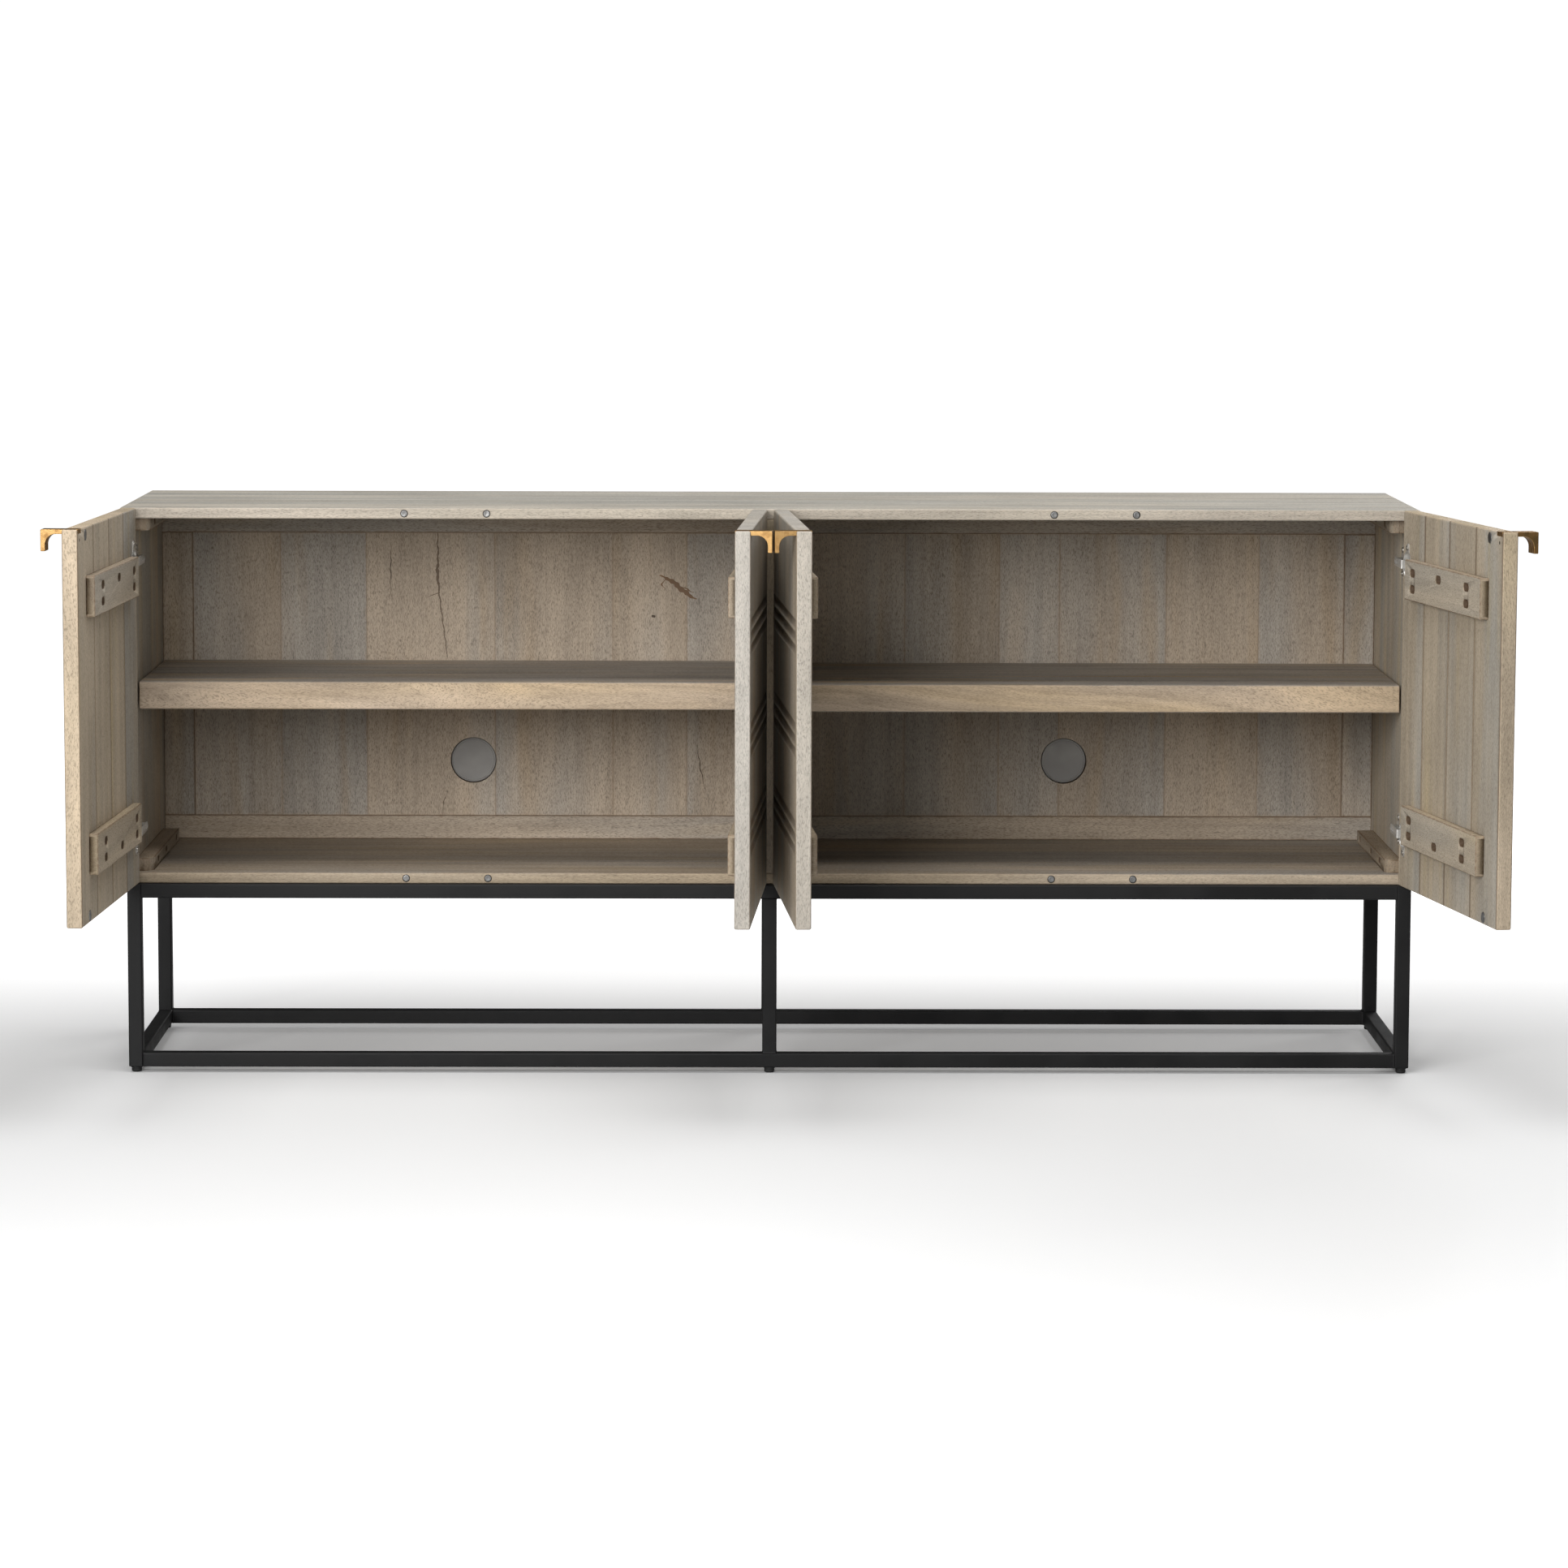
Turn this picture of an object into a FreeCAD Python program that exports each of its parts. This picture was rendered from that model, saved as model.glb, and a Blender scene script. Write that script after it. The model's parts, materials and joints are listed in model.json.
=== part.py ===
"""Low sideboard on an iron base: two bays, four doors, all doors standing open.

Millimetres. +X to the viewer's right, +Y towards the back, +Z up.
The origin is on the floor, under the front middle leg.
"""
import FreeCAD, Part
import math
import os

os.makedirs("parts", exist_ok=True)
V = FreeCAD.Vector

# ---- driving dimensions -------------------------------------------------------------
WIDTH = 1800.0
HEIGHT = 790.0
BODY_BOTTOM = 266.0
BODY_FRONT = -2.0
BODY_DEPTH = 396.5
BOARD = 15.0
SIDE = 16.0
DIVIDER = 18.0
EDGE_R = 2.0

BACK_THICK = 20.0
BACK_TOP_RAIL = 45.0
BACK_BOTTOM_RAIL = 35.0
BACK_STILE = 45.0
BACK_PANEL_THICK = 12.0
BACK_PANEL_RECESS = 3.0
CABLE_HOLE_X = 432.0
CABLE_HOLE_Z = 397.0
CABLE_HOLE_R = 33.5
PLUG_R = 32.5
PLUG_RECESS = 5.0
PLUG_FLANGE_R = 38.0
PLUG_FLANGE_T = 2.0

SHELF_FRONT = 43.0
SHELF_EDGE = 38.5
SHELF_BOARD = 19.0
SHELF_LIP = 20.0
SHELF_END_GAP = 3.0
SHELF_TOP_LEFT = 544.0
SHELF_TOP_RIGHT = 541.5
SHELF_PIN_R = 2.5
SHELF_PIN_OUT = 9.0
SHELF_PIN_Y = (82.0, 320.0)

CLEAT_W = 23.0
CLEAT_H = 18.0
CLEAT_FRONT = 16.0
CLEAT_BACK = 350.0
CLEAT_SLOTS_Y = (83.0, 185.0, 318.0)
CLEAT_SLOT_LONG = 22.0
CLEAT_SLOT_HIGH = 9.0
CLEAT_SLOT_DEEP = 9.0

TUBE = 20.0
TUBE_WALL = 1.5
BASE_WIDTH = 1791.0
BASE_DEPTH = 396.5
GLIDE_H = 8.0
GLIDE_TOP_R = 8.0
GLIDE_FOOT_R = 7.0

DOOR_W = 447.0
DOOR_T = 21.0
DOOR_EDGE_R = 2.5
DOOR_GAP = 3.0
DOOR_LIFT = 1.0
DOOR_SIDE_GAP = 1.5
PLANK_JOINTS = (103.0, 215.0, 332.0)
JOINT_W = 1.4
JOINT_DEEP = 1.4

FLUTE_BANDS = (140.0, 275.0, 404.0)
FLUTE_PITCH = 17.0
FLUTE_W = 15.0
FLUTE_DEEP = 2.5
FLUTE_STOP = 8.0

BATTEN_START = 48.0
BATTEN_END = 390.0
BATTEN_H = 55.0
BATTEN_T = 12.0
BATTEN_INSET = 64.0
BATTEN_END_R = 4.0
SLOT_LONG = 25.0
SLOT_HIGH = 12.0
SLOT_DEEP = 7.0
SLOT_COLUMNS = (84.0, 203.0, 328.0)
SLOT_ROW = 11.0

SCREW_HEAD_R = 3.8
SCREW_HEAD_H = 2.2
SCREW_R = 1.9
DOOR_SCREW = 16.0
CLEAT_SCREW = 22.0
PLATE_SCREW = 10.0

PULL_START = 420.0
PULL_LONG = 25.0
PULL_OUT = 28.0
PULL_T = 6.0
PULL_DROP = 28.5
PULL_FILLET = 14.0

HINGE_INSET = 74.0
CUP_S = 21.0
CUP_R = 17.5
CUP_WALL = 1.0
CUP_FLOOR = 0.8
CUP_FLANGE_R = 18.4
FLANGE_T = 1.0
EAR_S = 24.0
EAR_W = 12.0
EAR_REACH = 24.0
PIN_R = 1.1
PIN_CLEAR = 0.05
EYE_R = 2.2
EYE_CLEAR = 0.4
ARM_T = 2.0
ARM_W = 12.0
ARM_BACK = 54.0
RISER_FRONT = 22.0
PLATE_T = 2.0
PLATE_FRONT = 16.0
PLATE_BACK = 60.0
PLATE_W = 18.0
WING_FRONT = 32.0
WING_BACK = 44.0
WING_REACH = 23.0
WING_SCREW = 16.5

MAGNET_R = 5.0
MAGNET_DEEP = 5.0
MAGNET_FROM_BAY = 57.0
DISC_R = 7.5
DISC_T = 2.0
DISC_SUNK = 1.0
DISC_FROM_EDGE = 10.5

# each door: hinge side (+1 hinged at its left), where its edge is counted from,
# turning centre in from that reference and ahead of the body's front, open angle
DOORS = {
    "door_1": dict(hand=1, ref=-WIDTH / 2, wall=SIDE, axis_in=11.0, axis_out=14.0, angle=93.1),
    "door_2": dict(hand=-1, ref=0.0, wall=DIVIDER / 2, axis_in=11.9, axis_out=17.0, angle=87.0),
    "door_3": dict(hand=1, ref=0.0, wall=DIVIDER / 2, axis_in=11.9, axis_out=17.0, angle=86.5),
    "door_4": dict(hand=-1, ref=WIDTH / 2, wall=SIDE, axis_in=11.0, axis_out=14.0, angle=99.6),
}

# ---- derived ------------------------------------------------------------------------
HALF = WIDTH / 2
BODY_BACK = BODY_FRONT + BODY_DEPTH
FLOOR_IN = BODY_BOTTOM + BOARD
CEILING_IN = HEIGHT - BOARD
SIDE_IN = HALF - SIDE
BACK_FACE = BODY_BACK - BACK_THICK
BACK_PANEL_FACE = BACK_FACE + BACK_PANEL_RECESS
HINGE_Z = (HEIGHT - HINGE_INSET, BODY_BOTTOM + HINGE_INSET)
BATTEN_Z = (HEIGHT - BATTEN_INSET - BATTEN_H, BODY_BOTTOM + BATTEN_INSET)
BAY = WIDTH / 4


# ---- small helpers --------------------------------------------------------------------
def box(x0, x1, y0, y1, z0, z1):
    """A block between two opposite corners."""
    return Part.makeBox(x1 - x0, y1 - y0, z1 - z0, V(x0, y0, z0))


def rod(centre, direction, radius, length):
    """A round bar that starts at centre and runs along direction."""
    return Part.makeCylinder(radius, length, centre, direction)


def eased(shape, radius):
    """The same block with every edge rounded."""
    return shape.makeFillet(radius, shape.Edges)


def cut_all(shape, tools):
    """The shape with every tool taken out of it."""
    return shape.cut(Part.makeCompound(tools)) if tools else shape


def tube(x0, x1, y0, y1, z0, z1, along):
    """Square tube, open at both ends along one axis (0, 1 or 2)."""
    low = [x0, y0, z0]
    high = [x1, y1, z1]
    for k in range(3):
        if k != along:
            low[k] += TUBE_WALL
            high[k] -= TUBE_WALL
    inner = box(low[0], high[0], low[1], high[1], low[2], high[2])
    return box(x0, x1, y0, y1, z0, z1).cut(inner)


def export(name, shapes):
    """One STEP file; a list is written as a group of separate solids."""
    shape = Part.makeCompound(shapes) if isinstance(shapes, list) else shapes
    shape.exportStep("parts/" + name + ".step")


def screw(seat, into, long):
    """Round-headed screw: head above its seat, shank going in along into."""
    shank = rod(seat, into, SCREW_R, long)
    head = rod(seat - into * SCREW_HEAD_H, into, SCREW_HEAD_R, SCREW_HEAD_H)
    top = max(head.Edges, key=lambda e: -(e.CenterOfMass - seat).dot(into))
    head = head.makeFillet(SCREW_HEAD_H * 0.6, [top])
    return head.fuse(shank)


def shank_holes(seats, long):
    """The room that screws' shanks take in the wood."""
    return [rod(seat, into, SCREW_R, long) for seat, into in seats]


def screws(seats, long):
    return [screw(seat, into, long) for seat, into in seats]


# ---- cabinet body -----------------------------------------------------------------------
def magnet_seats():
    """Front-face centres of the eight catch magnets."""
    seats = []
    for bay in (-BAY, BAY):
        for side in (-MAGNET_FROM_BAY, MAGNET_FROM_BAY):
            for z in (HEIGHT - BOARD / 2, BODY_BOTTOM + BOARD / 2):
                seats.append(V(bay + side, BODY_FRONT, z))
    return seats


def catch_magnets():
    return [rod(seat, V(0, 1, 0), MAGNET_R, MAGNET_DEEP) for seat in magnet_seats()]


def body_board(z0):
    """Top or bottom board, with its magnets' pockets."""
    board = eased(box(-HALF, HALF, BODY_FRONT, BODY_BACK, z0, z0 + BOARD), EDGE_R)
    return cut_all(board, catch_magnets())


def side_panel(side):
    """End panel between the two boards."""
    inner, outer = sorted((side * SIDE_IN, side * HALF))
    panel = box(inner, outer, BODY_FRONT, BODY_BACK, FLOOR_IN, CEILING_IN)
    uprights = [e for e in panel.Edges if abs(e.tangentAt(e.FirstParameter).z) > 0.9]
    panel = panel.makeFillet(EDGE_R, uprights)
    return cut_all(panel, wall_holes())


def divider():
    """Upright between the two bays."""
    panel = box(-DIVIDER / 2, DIVIDER / 2, BODY_FRONT, BACK_FACE, FLOOR_IN, CEILING_IN)
    fronts = [e for e in panel.Edges
              if abs(e.tangentAt(e.FirstParameter).z) > 0.9 and e.CenterOfMass.y < 0]
    panel = panel.makeFillet(EDGE_R, fronts)
    return cut_all(panel, wall_holes())


def back_rail(z0, z1):
    return box(-SIDE_IN, SIDE_IN, BACK_FACE, BODY_BACK, z0, z1)


def back_stile(x0, x1):
    z0 = FLOOR_IN + BACK_BOTTOM_RAIL
    z1 = CEILING_IN - BACK_TOP_RAIL
    return box(x0, x1, BACK_FACE, BODY_BACK, z0, z1)


def back_panel(side):
    """Planked back of one bay, with its cable hole."""
    inner, outer = sorted((side * BACK_STILE, side * (SIDE_IN - BACK_STILE)))
    panel = box(inner, outer, BACK_PANEL_FACE, BACK_PANEL_FACE + BACK_PANEL_THICK,
                FLOOR_IN + BACK_BOTTOM_RAIL, CEILING_IN - BACK_TOP_RAIL)
    hole = rod(V(side * CABLE_HOLE_X, BACK_PANEL_FACE - 5, CABLE_HOLE_Z), V(0, 1, 0),
               CABLE_HOLE_R, BACK_PANEL_THICK + 10)
    return panel.cut(hole)


def cable_plug(side):
    """Blank cap in the cable hole: a disc set back from the face, held by a flange behind."""
    face = BACK_PANEL_FACE + PLUG_RECESS
    back = BACK_PANEL_FACE + BACK_PANEL_THICK
    disc = rod(V(side * CABLE_HOLE_X, face, CABLE_HOLE_Z), V(0, 1, 0), PLUG_R, back - face)
    rim = [e for e in disc.Edges if e.CenterOfMass.y < face + 0.1 and e.Length > PLUG_R]
    flange = rod(V(side * CABLE_HOLE_X, back, CABLE_HOLE_Z), V(0, 1, 0), PLUG_FLANGE_R,
                 PLUG_FLANGE_T)
    return disc.makeFillet(1.2, rim).fuse(flange)


def shelf(side, top):
    """Shelf board with a deeper front edge."""
    x0, x1 = sorted((side * (DIVIDER / 2 + SHELF_END_GAP), side * (SIDE_IN - SHELF_END_GAP)))
    board = box(x0, x1, SHELF_FRONT, BACK_FACE - 1, top - SHELF_BOARD, top)
    lip = box(x0, x1, SHELF_FRONT, SHELF_FRONT + SHELF_LIP, top - SHELF_EDGE, top)
    whole = board.fuse(lip).removeSplitter()
    fronts = [e for e in whole.Edges
              if abs(e.CenterOfMass.y - SHELF_FRONT) < 0.1 and e.Length > WIDTH / 4]
    return whole.makeFillet(EDGE_R, fronts)


def bay_walls():
    """Each bay wall: the X of its face and the direction into the bay."""
    return [(-SIDE_IN, 1), (-DIVIDER / 2, -1), (DIVIDER / 2, 1), (SIDE_IN, -1)]


def shelf_pins():
    """Eight pins: half of each in the wall, half under a shelf."""
    pins = []
    for face, way in bay_walls():
        top = SHELF_TOP_LEFT if face < 0 else SHELF_TOP_RIGHT
        z = top - SHELF_BOARD - SHELF_PIN_R
        for y in SHELF_PIN_Y:
            start = V(face - way * (SHELF_PIN_OUT - 2), y, z)
            pins.append(rod(start, V(way, 0, 0), SHELF_PIN_R, 2 * SHELF_PIN_OUT - 2))
    return pins


def cleat(face, way, z0):
    """Screw strip along a wall, its front end rounded, with slotted recesses."""
    x0, x1 = sorted((face, face + way * CLEAT_W))
    strip = box(x0, x1, CLEAT_FRONT, CLEAT_BACK, z0, z0 + CLEAT_H)
    corner = [e for e in strip.Edges
              if abs(e.tangentAt(e.FirstParameter).z) > 0.9
              and e.CenterOfMass.y < CLEAT_FRONT + 1
              and abs(e.CenterOfMass.x - face) > 1]
    strip = strip.makeFillet(CLEAT_W * 0.6, corner)
    mid = z0 + CLEAT_H / 2
    tools = []
    for y in CLEAT_SLOTS_Y:
        mouth = V(face + way * (CLEAT_W + 1), y, mid)
        tools.append(slot_tool(mouth, V(-way, 0, 0), V(0, 1, 0),
                               CLEAT_SLOT_LONG, CLEAT_SLOT_HIGH, CLEAT_SLOT_DEEP + 1))
    return cut_all(strip, tools + shank_holes(cleat_screw_seats(), CLEAT_SCREW))


def slot_tool(mouth, into, along, long, high, deep):
    """A slot with round ends, sunk from its mouth."""
    half = (long - high) / 2
    ends = [rod(mouth + along * (s * half), into, high / 2, deep) for s in (-1, 1)]
    across = into.cross(along)
    corner = mouth - along * half - across * (high / 2)
    face = Part.makePolygon([corner, corner + along * (2 * half),
                             corner + along * (2 * half) + across * high,
                             corner + across * high, corner])
    middle = Part.Face(face).extrude(into * deep)
    return middle.fuse(ends)


def cleat_levels():
    return (CEILING_IN - CLEAT_H, FLOOR_IN)


def cleat_screw_seats():
    """Where every cleat screw's head rests, and which way it goes in."""
    seats = []
    for face, way in bay_walls():
        for z0 in cleat_levels():
            for y in CLEAT_SLOTS_Y:
                seat = V(face + way * (CLEAT_W - CLEAT_SLOT_DEEP), y, z0 + CLEAT_H / 2)
                seats.append((seat, V(-way, 0, 0)))
    return seats


def cleats():
    return [cleat(face, way, z0) for face, way in bay_walls() for z0 in cleat_levels()]


def wall_holes():
    """Every pocket that the end panels and the divider need."""
    shanks = shank_holes(cleat_screw_seats(), CLEAT_SCREW)
    return shanks + shank_holes(plate_screw_seats(), PLATE_SCREW) + shelf_pins()


# ---- iron base ----------------------------------------------------------------------------
LEG_X = BASE_WIDTH / 2 - TUBE / 2
LEG_Y = (0.0, BASE_DEPTH - TUBE)


def leg(x, y):
    """Corner legs run the full height; the middle ones stand between the rails."""
    middle = abs(x) < 1
    z0 = GLIDE_H + (TUBE if middle else 0)
    z1 = BODY_BOTTOM - (TUBE if middle else 0)
    return tube(x - TUBE / 2, x + TUBE / 2, y - TUBE / 2, y + TUBE / 2, z0, z1, 2)


def long_rail(y, z0):
    end = LEG_X - TUBE / 2
    return tube(-end, end, y - TUBE / 2, y + TUBE / 2, z0, z0 + TUBE, 0)


def end_rail(x, z0):
    return tube(x - TUBE / 2, x + TUBE / 2, LEG_Y[0] + TUBE / 2, LEG_Y[1] - TUBE / 2,
                z0, z0 + TUBE, 1)


def glides():
    """Six feet under the legs, their rims rounded."""
    feet = []
    for x in (-LEG_X, 0.0, LEG_X):
        for y in LEG_Y:
            foot = Part.makeCone(GLIDE_FOOT_R, GLIDE_TOP_R, GLIDE_H, V(x, y, 0), V(0, 0, 1))
            rim = [e for e in foot.Edges if e.CenterOfMass.z < 0.1 and e.Length > 10]
            feet.append(foot.makeFillet(1.5, rim))
    return feet


# ---- doors, drawn closed with the hinge edge at s = 0 and the inner face at y = 0 -----------
def flute_tools():
    """Three bands of three shallow rounded channels across the front."""
    half = FLUTE_W / 2
    radius = (half ** 2 + FLUTE_DEEP ** 2) / (2 * FLUTE_DEEP)
    tools = []
    for down in FLUTE_BANDS:
        for k in (-1, 0, 1):
            centre = V(FLUTE_STOP, -DOOR_T - radius + FLUTE_DEEP, HEIGHT - down + k * FLUTE_PITCH)
            tools.append(rod(centre, V(1, 0, 0), radius, DOOR_W - 2 * FLUTE_STOP))
    return tools


def joint_tools():
    """Fine grooves where the planks meet, between the two battens."""
    low = BATTEN_Z[1] + BATTEN_H
    high = BATTEN_Z[0]
    return [box(s - JOINT_W / 2, s + JOINT_W / 2, -JOINT_DEEP, 1, low, high) for s in PLANK_JOINTS]


def axis_local(door):
    """The turning centre in the door's own frame: along the width, and depth."""
    return door["axis_in"] - DOOR_SIDE_GAP, door["axis_out"] - DOOR_GAP


def cup_depth(door):
    """Inside depth of the hinge cup, measured from the door's inner face."""
    return axis_local(door)[1] + EYE_R + EYE_CLEAR


def cup_tools(door):
    depth = cup_depth(door) + CUP_FLOOR
    return [rod(V(CUP_S, 0.5, z), V(0, -1, 0), CUP_R, depth + 0.5) for z in HINGE_Z]


def pull_profile():
    """Angle section: flat on top of the door, a drop in front, a rounded inner corner."""
    front = -DOOR_T - PULL_OUT
    under = HEIGHT - PULL_T
    inner = front + PULL_T
    low = HEIGHT - PULL_DROP
    r = PULL_FILLET
    start = V(0, inner, under - r)
    stop = V(0, inner + r, under)
    turn = V(0, inner + r * (1 - math.cos(math.pi / 4)), under - r * (1 - math.sin(math.pi / 4)))
    corners = [stop, V(0, 0, under), V(0, 0, HEIGHT), V(0, front, HEIGHT), V(0, front, low),
               V(0, inner, low), start]
    lines = [Part.makeLine(a, b) for a, b in zip(corners, corners[1:])]
    return Part.Face(Part.Wire(lines + [Part.Arc(start, turn, stop).toShape()]))


def pull():
    face = pull_profile()
    face.translate(V(PULL_START, 0, 0))
    bar = face.extrude(V(PULL_LONG, 0, 0))
    rims = [e for e in bar.Edges
            if abs(e.tangentAt(e.FirstParameter).x) > 0.9 and e.CenterOfMass.y < -DOOR_T - 1
            and (e.CenterOfMass.z < HEIGHT - PULL_DROP + 1
                 or (e.CenterOfMass.y < -DOOR_T - PULL_OUT + 1))]
    return bar.makeFillet(0.8, rims)


def pull_seat():
    return box(PULL_START, PULL_START + PULL_LONG, -DOOR_T - 1, 1, HEIGHT - PULL_T, HEIGHT + 1)


def batten_slots(z0):
    """Slot centres of one batten: two at each end, one in the middle."""
    mid = z0 + BATTEN_H / 2
    outer = 1 if z0 > HEIGHT - 2 * BATTEN_INSET - BATTEN_H else -1
    rows = []
    for k, s in enumerate(SLOT_COLUMNS):
        for way in ((outer,) if k == 1 else (-1, 1)):
            rows.append(V(s, BATTEN_T, mid + way * SLOT_ROW))
    return rows


def batten(z0):
    strip = box(BATTEN_START, BATTEN_END, 0, BATTEN_T, z0, z0 + BATTEN_H)
    ends = [e for e in strip.Edges
            if abs(e.tangentAt(e.FirstParameter).y) > 0.9 and e.CenterOfMass.x > BATTEN_END - 1]
    strip = strip.makeFillet(BATTEN_END_R, ends)
    rim = [e for e in strip.Edges if e.CenterOfMass.y > BATTEN_T - 0.01]
    strip = strip.makeFillet(EDGE_R, rim)
    slots = [slot_tool(c + V(0, 1, 0), V(0, -1, 0), V(1, 0, 0), SLOT_LONG, SLOT_HIGH, SLOT_DEEP + 1)
             for c in batten_slots(z0)]
    return cut_all(strip, slots + shank_holes(batten_screw_seats(), DOOR_SCREW))


def batten_screw_seats():
    down = V(0, -1, 0)
    return [(c + down * SLOT_DEEP, down) for z0 in BATTEN_Z for c in batten_slots(z0)]


def ear_screw_seats():
    """Two screws through each hinge cup's ears."""
    return [(V(EAR_S, FLANGE_T, z + way * EAR_REACH), V(0, -1, 0))
            for z in HINGE_Z for way in (-1, 1)]


def disc_centres():
    """Level with the magnets when the door is shut."""
    s = HALF - DOOR_SIDE_GAP - BAY - MAGNET_FROM_BAY
    return [V(s, 0, z) for z in (HEIGHT - DISC_FROM_EDGE, BODY_BOTTOM + DISC_FROM_EDGE)]


def catch_discs():
    return [rod(c - V(0, DISC_SUNK, 0), V(0, 1, 0), DISC_R, DISC_T) for c in disc_centres()]


def door_panel(door):
    slab = eased(box(0, DOOR_W, -DOOR_T, 0, BODY_BOTTOM + DOOR_LIFT, HEIGHT), DOOR_EDGE_R)
    holes = shank_holes(batten_screw_seats() + ear_screw_seats(), DOOR_SCREW)
    tools = flute_tools() + joint_tools() + cup_tools(door) + [pull_seat()] + holes
    for tool in tools + catch_discs():
        slab = slab.cut(tool)
    return slab


def hinge_cup(door, z):
    """Pressed cup with two ears, and the pin that the arm's eye turns on."""
    s_axis, t_axis = axis_local(door)
    depth = cup_depth(door)
    shell = rod(V(CUP_S, 0, z), V(0, -1, 0), CUP_R, depth + CUP_FLOOR)
    flange = rod(V(CUP_S, 0, z), V(0, 1, 0), CUP_FLANGE_R, FLANGE_T)
    reach = EAR_REACH + EAR_W / 2
    ear = box(EAR_S - EAR_W / 2, EAR_S + EAR_W / 2, 0, FLANGE_T, z - reach, z + reach)
    corners = [e for e in ear.Edges if abs(e.tangentAt(e.FirstParameter).y) > 0.9]
    ear = ear.makeFillet(EAR_W / 2 - 0.5, corners)
    cup = shell.fuse([flange, ear])
    inner = CUP_R - CUP_WALL
    cup = cup.cut(rod(V(CUP_S, FLANGE_T + 1, z), V(0, -1, 0), inner, depth + FLANGE_T + 1))
    half = math.sqrt(inner ** 2 - (CUP_S - s_axis) ** 2) + CUP_WALL / 2
    cup = cup.fuse(rod(V(s_axis, -t_axis, z - half), V(0, 0, 1), PIN_R, 2 * half))
    return cut_all(cup, shank_holes(ear_screw_seats(), DOOR_SCREW))


def place_on_door(door, shape):
    """From the door's own frame to the open door, mirrored for a right-hand hinge."""
    hand = door["hand"]
    moved = shape if hand > 0 else shape.mirror(V(0, 0, 0), V(1, 0, 0))
    moved = moved.copy()
    moved.translate(V(door["ref"] + hand * DOOR_SIDE_GAP, BODY_FRONT - DOOR_GAP, 0))
    moved.rotate(hinge_axis(door), V(0, 0, 1), -hand * door["angle"])
    return moved


def hinge_axis(door):
    return V(door["ref"] + door["hand"] * door["axis_in"], BODY_FRONT - door["axis_out"], 0)


# ---- hinge arms and plates, fixed to the bay walls ---------------------------------------------
def arm_offset(door):
    """How far the arm stands off the turning centre, clear of the open door's face."""
    return axis_local(door)[1] + 3.5


def place_on_wall(door, shape):
    moved = shape if door["hand"] > 0 else shape.mirror(V(0, 0, 0), V(1, 0, 0))
    moved = moved.copy()
    moved.translate(V(door["ref"], BODY_FRONT, 0))
    return moved


def hinge_arm(door, z):
    """Cranked arm: an eye on the cup's pin, a crank, and a bar back to its block."""
    u = door["axis_in"]
    v = -door["axis_out"]
    bar = u + arm_offset(door)
    z0 = z - ARM_W / 2
    z1 = z + ARM_W / 2
    eye = rod(V(u, v, z0), V(0, 0, 1), EYE_R, ARM_W)
    crank = box(u, bar + ARM_T, v - ARM_T / 2, v + ARM_T / 2, z0, z1)
    leaf = box(bar, bar + ARM_T, v - ARM_T / 2, ARM_BACK, z0, z1)
    block = box(door["wall"] + PLATE_T, bar, RISER_FRONT, ARM_BACK, z0 + 1, z1 - 1)
    studs = [rod(V(bar + ARM_T, y, z), V(1, 0, 0), 2.8, 1.2)
             for y in (RISER_FRONT + 6, ARM_BACK - 8)]
    arm = eye.fuse([crank, leaf, block] + studs)
    return arm.cut(rod(V(u, v, z0 - 1), V(0, 0, 1), PIN_R + PIN_CLEAR, ARM_W + 2))


def plate_screw_local(door, z):
    mid = (WING_FRONT + WING_BACK) / 2
    return [V(door["wall"] + PLATE_T, mid, z + way * WING_SCREW) for way in (-1, 1)]


def hinge_plate(door, z):
    wall = door["wall"]
    base = box(wall, wall + PLATE_T, PLATE_FRONT, PLATE_BACK, z - PLATE_W / 2, z + PLATE_W / 2)
    wing = box(wall, wall + PLATE_T, WING_FRONT, WING_BACK, z - WING_REACH, z + WING_REACH)
    corners = [e for e in wing.Edges if abs(e.tangentAt(e.FirstParameter).x) > 0.9]
    wing = wing.makeFillet(4.0, corners)
    plate = base.fuse(wing)
    seats = [(p, V(-1, 0, 0)) for p in plate_screw_local(door, z)]
    return cut_all(plate, shank_holes(seats, PLATE_SCREW))


def plate_screw_seats():
    """Every plate screw, in the cabinet's frame."""
    seats = []
    for door in DOORS.values():
        hand = door["hand"]
        for z in HINGE_Z:
            for p in plate_screw_local(door, z):
                seat = V(door["ref"] + hand * p.x, BODY_FRONT + p.y, p.z)
                seats.append((seat, V(-hand, 0, 0)))
    return seats


# ---- write every piece ----------------------------------------------------------------------------
export("top_board", body_board(CEILING_IN))
export("bottom_board", body_board(BODY_BOTTOM))
export("side_panel_left", side_panel(-1))
export("side_panel_right", side_panel(1))
export("divider", divider())
export("back_top_rail", back_rail(CEILING_IN - BACK_TOP_RAIL, CEILING_IN))
export("back_bottom_rail", back_rail(FLOOR_IN, FLOOR_IN + BACK_BOTTOM_RAIL))
export("back_stile_left", back_stile(-SIDE_IN, -SIDE_IN + BACK_STILE))
export("back_stile_centre", back_stile(-BACK_STILE, BACK_STILE))
export("back_stile_right", back_stile(SIDE_IN - BACK_STILE, SIDE_IN))
export("back_panel_left", back_panel(-1))
export("back_panel_right", back_panel(1))
export("shelf_left", shelf(-1, SHELF_TOP_LEFT))
export("shelf_right", shelf(1, SHELF_TOP_RIGHT))
export("shelf_pins", shelf_pins())
export("cleats", cleats())
export("cable_plugs", [cable_plug(-1), cable_plug(1)])
export("catch_magnets", catch_magnets())

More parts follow.
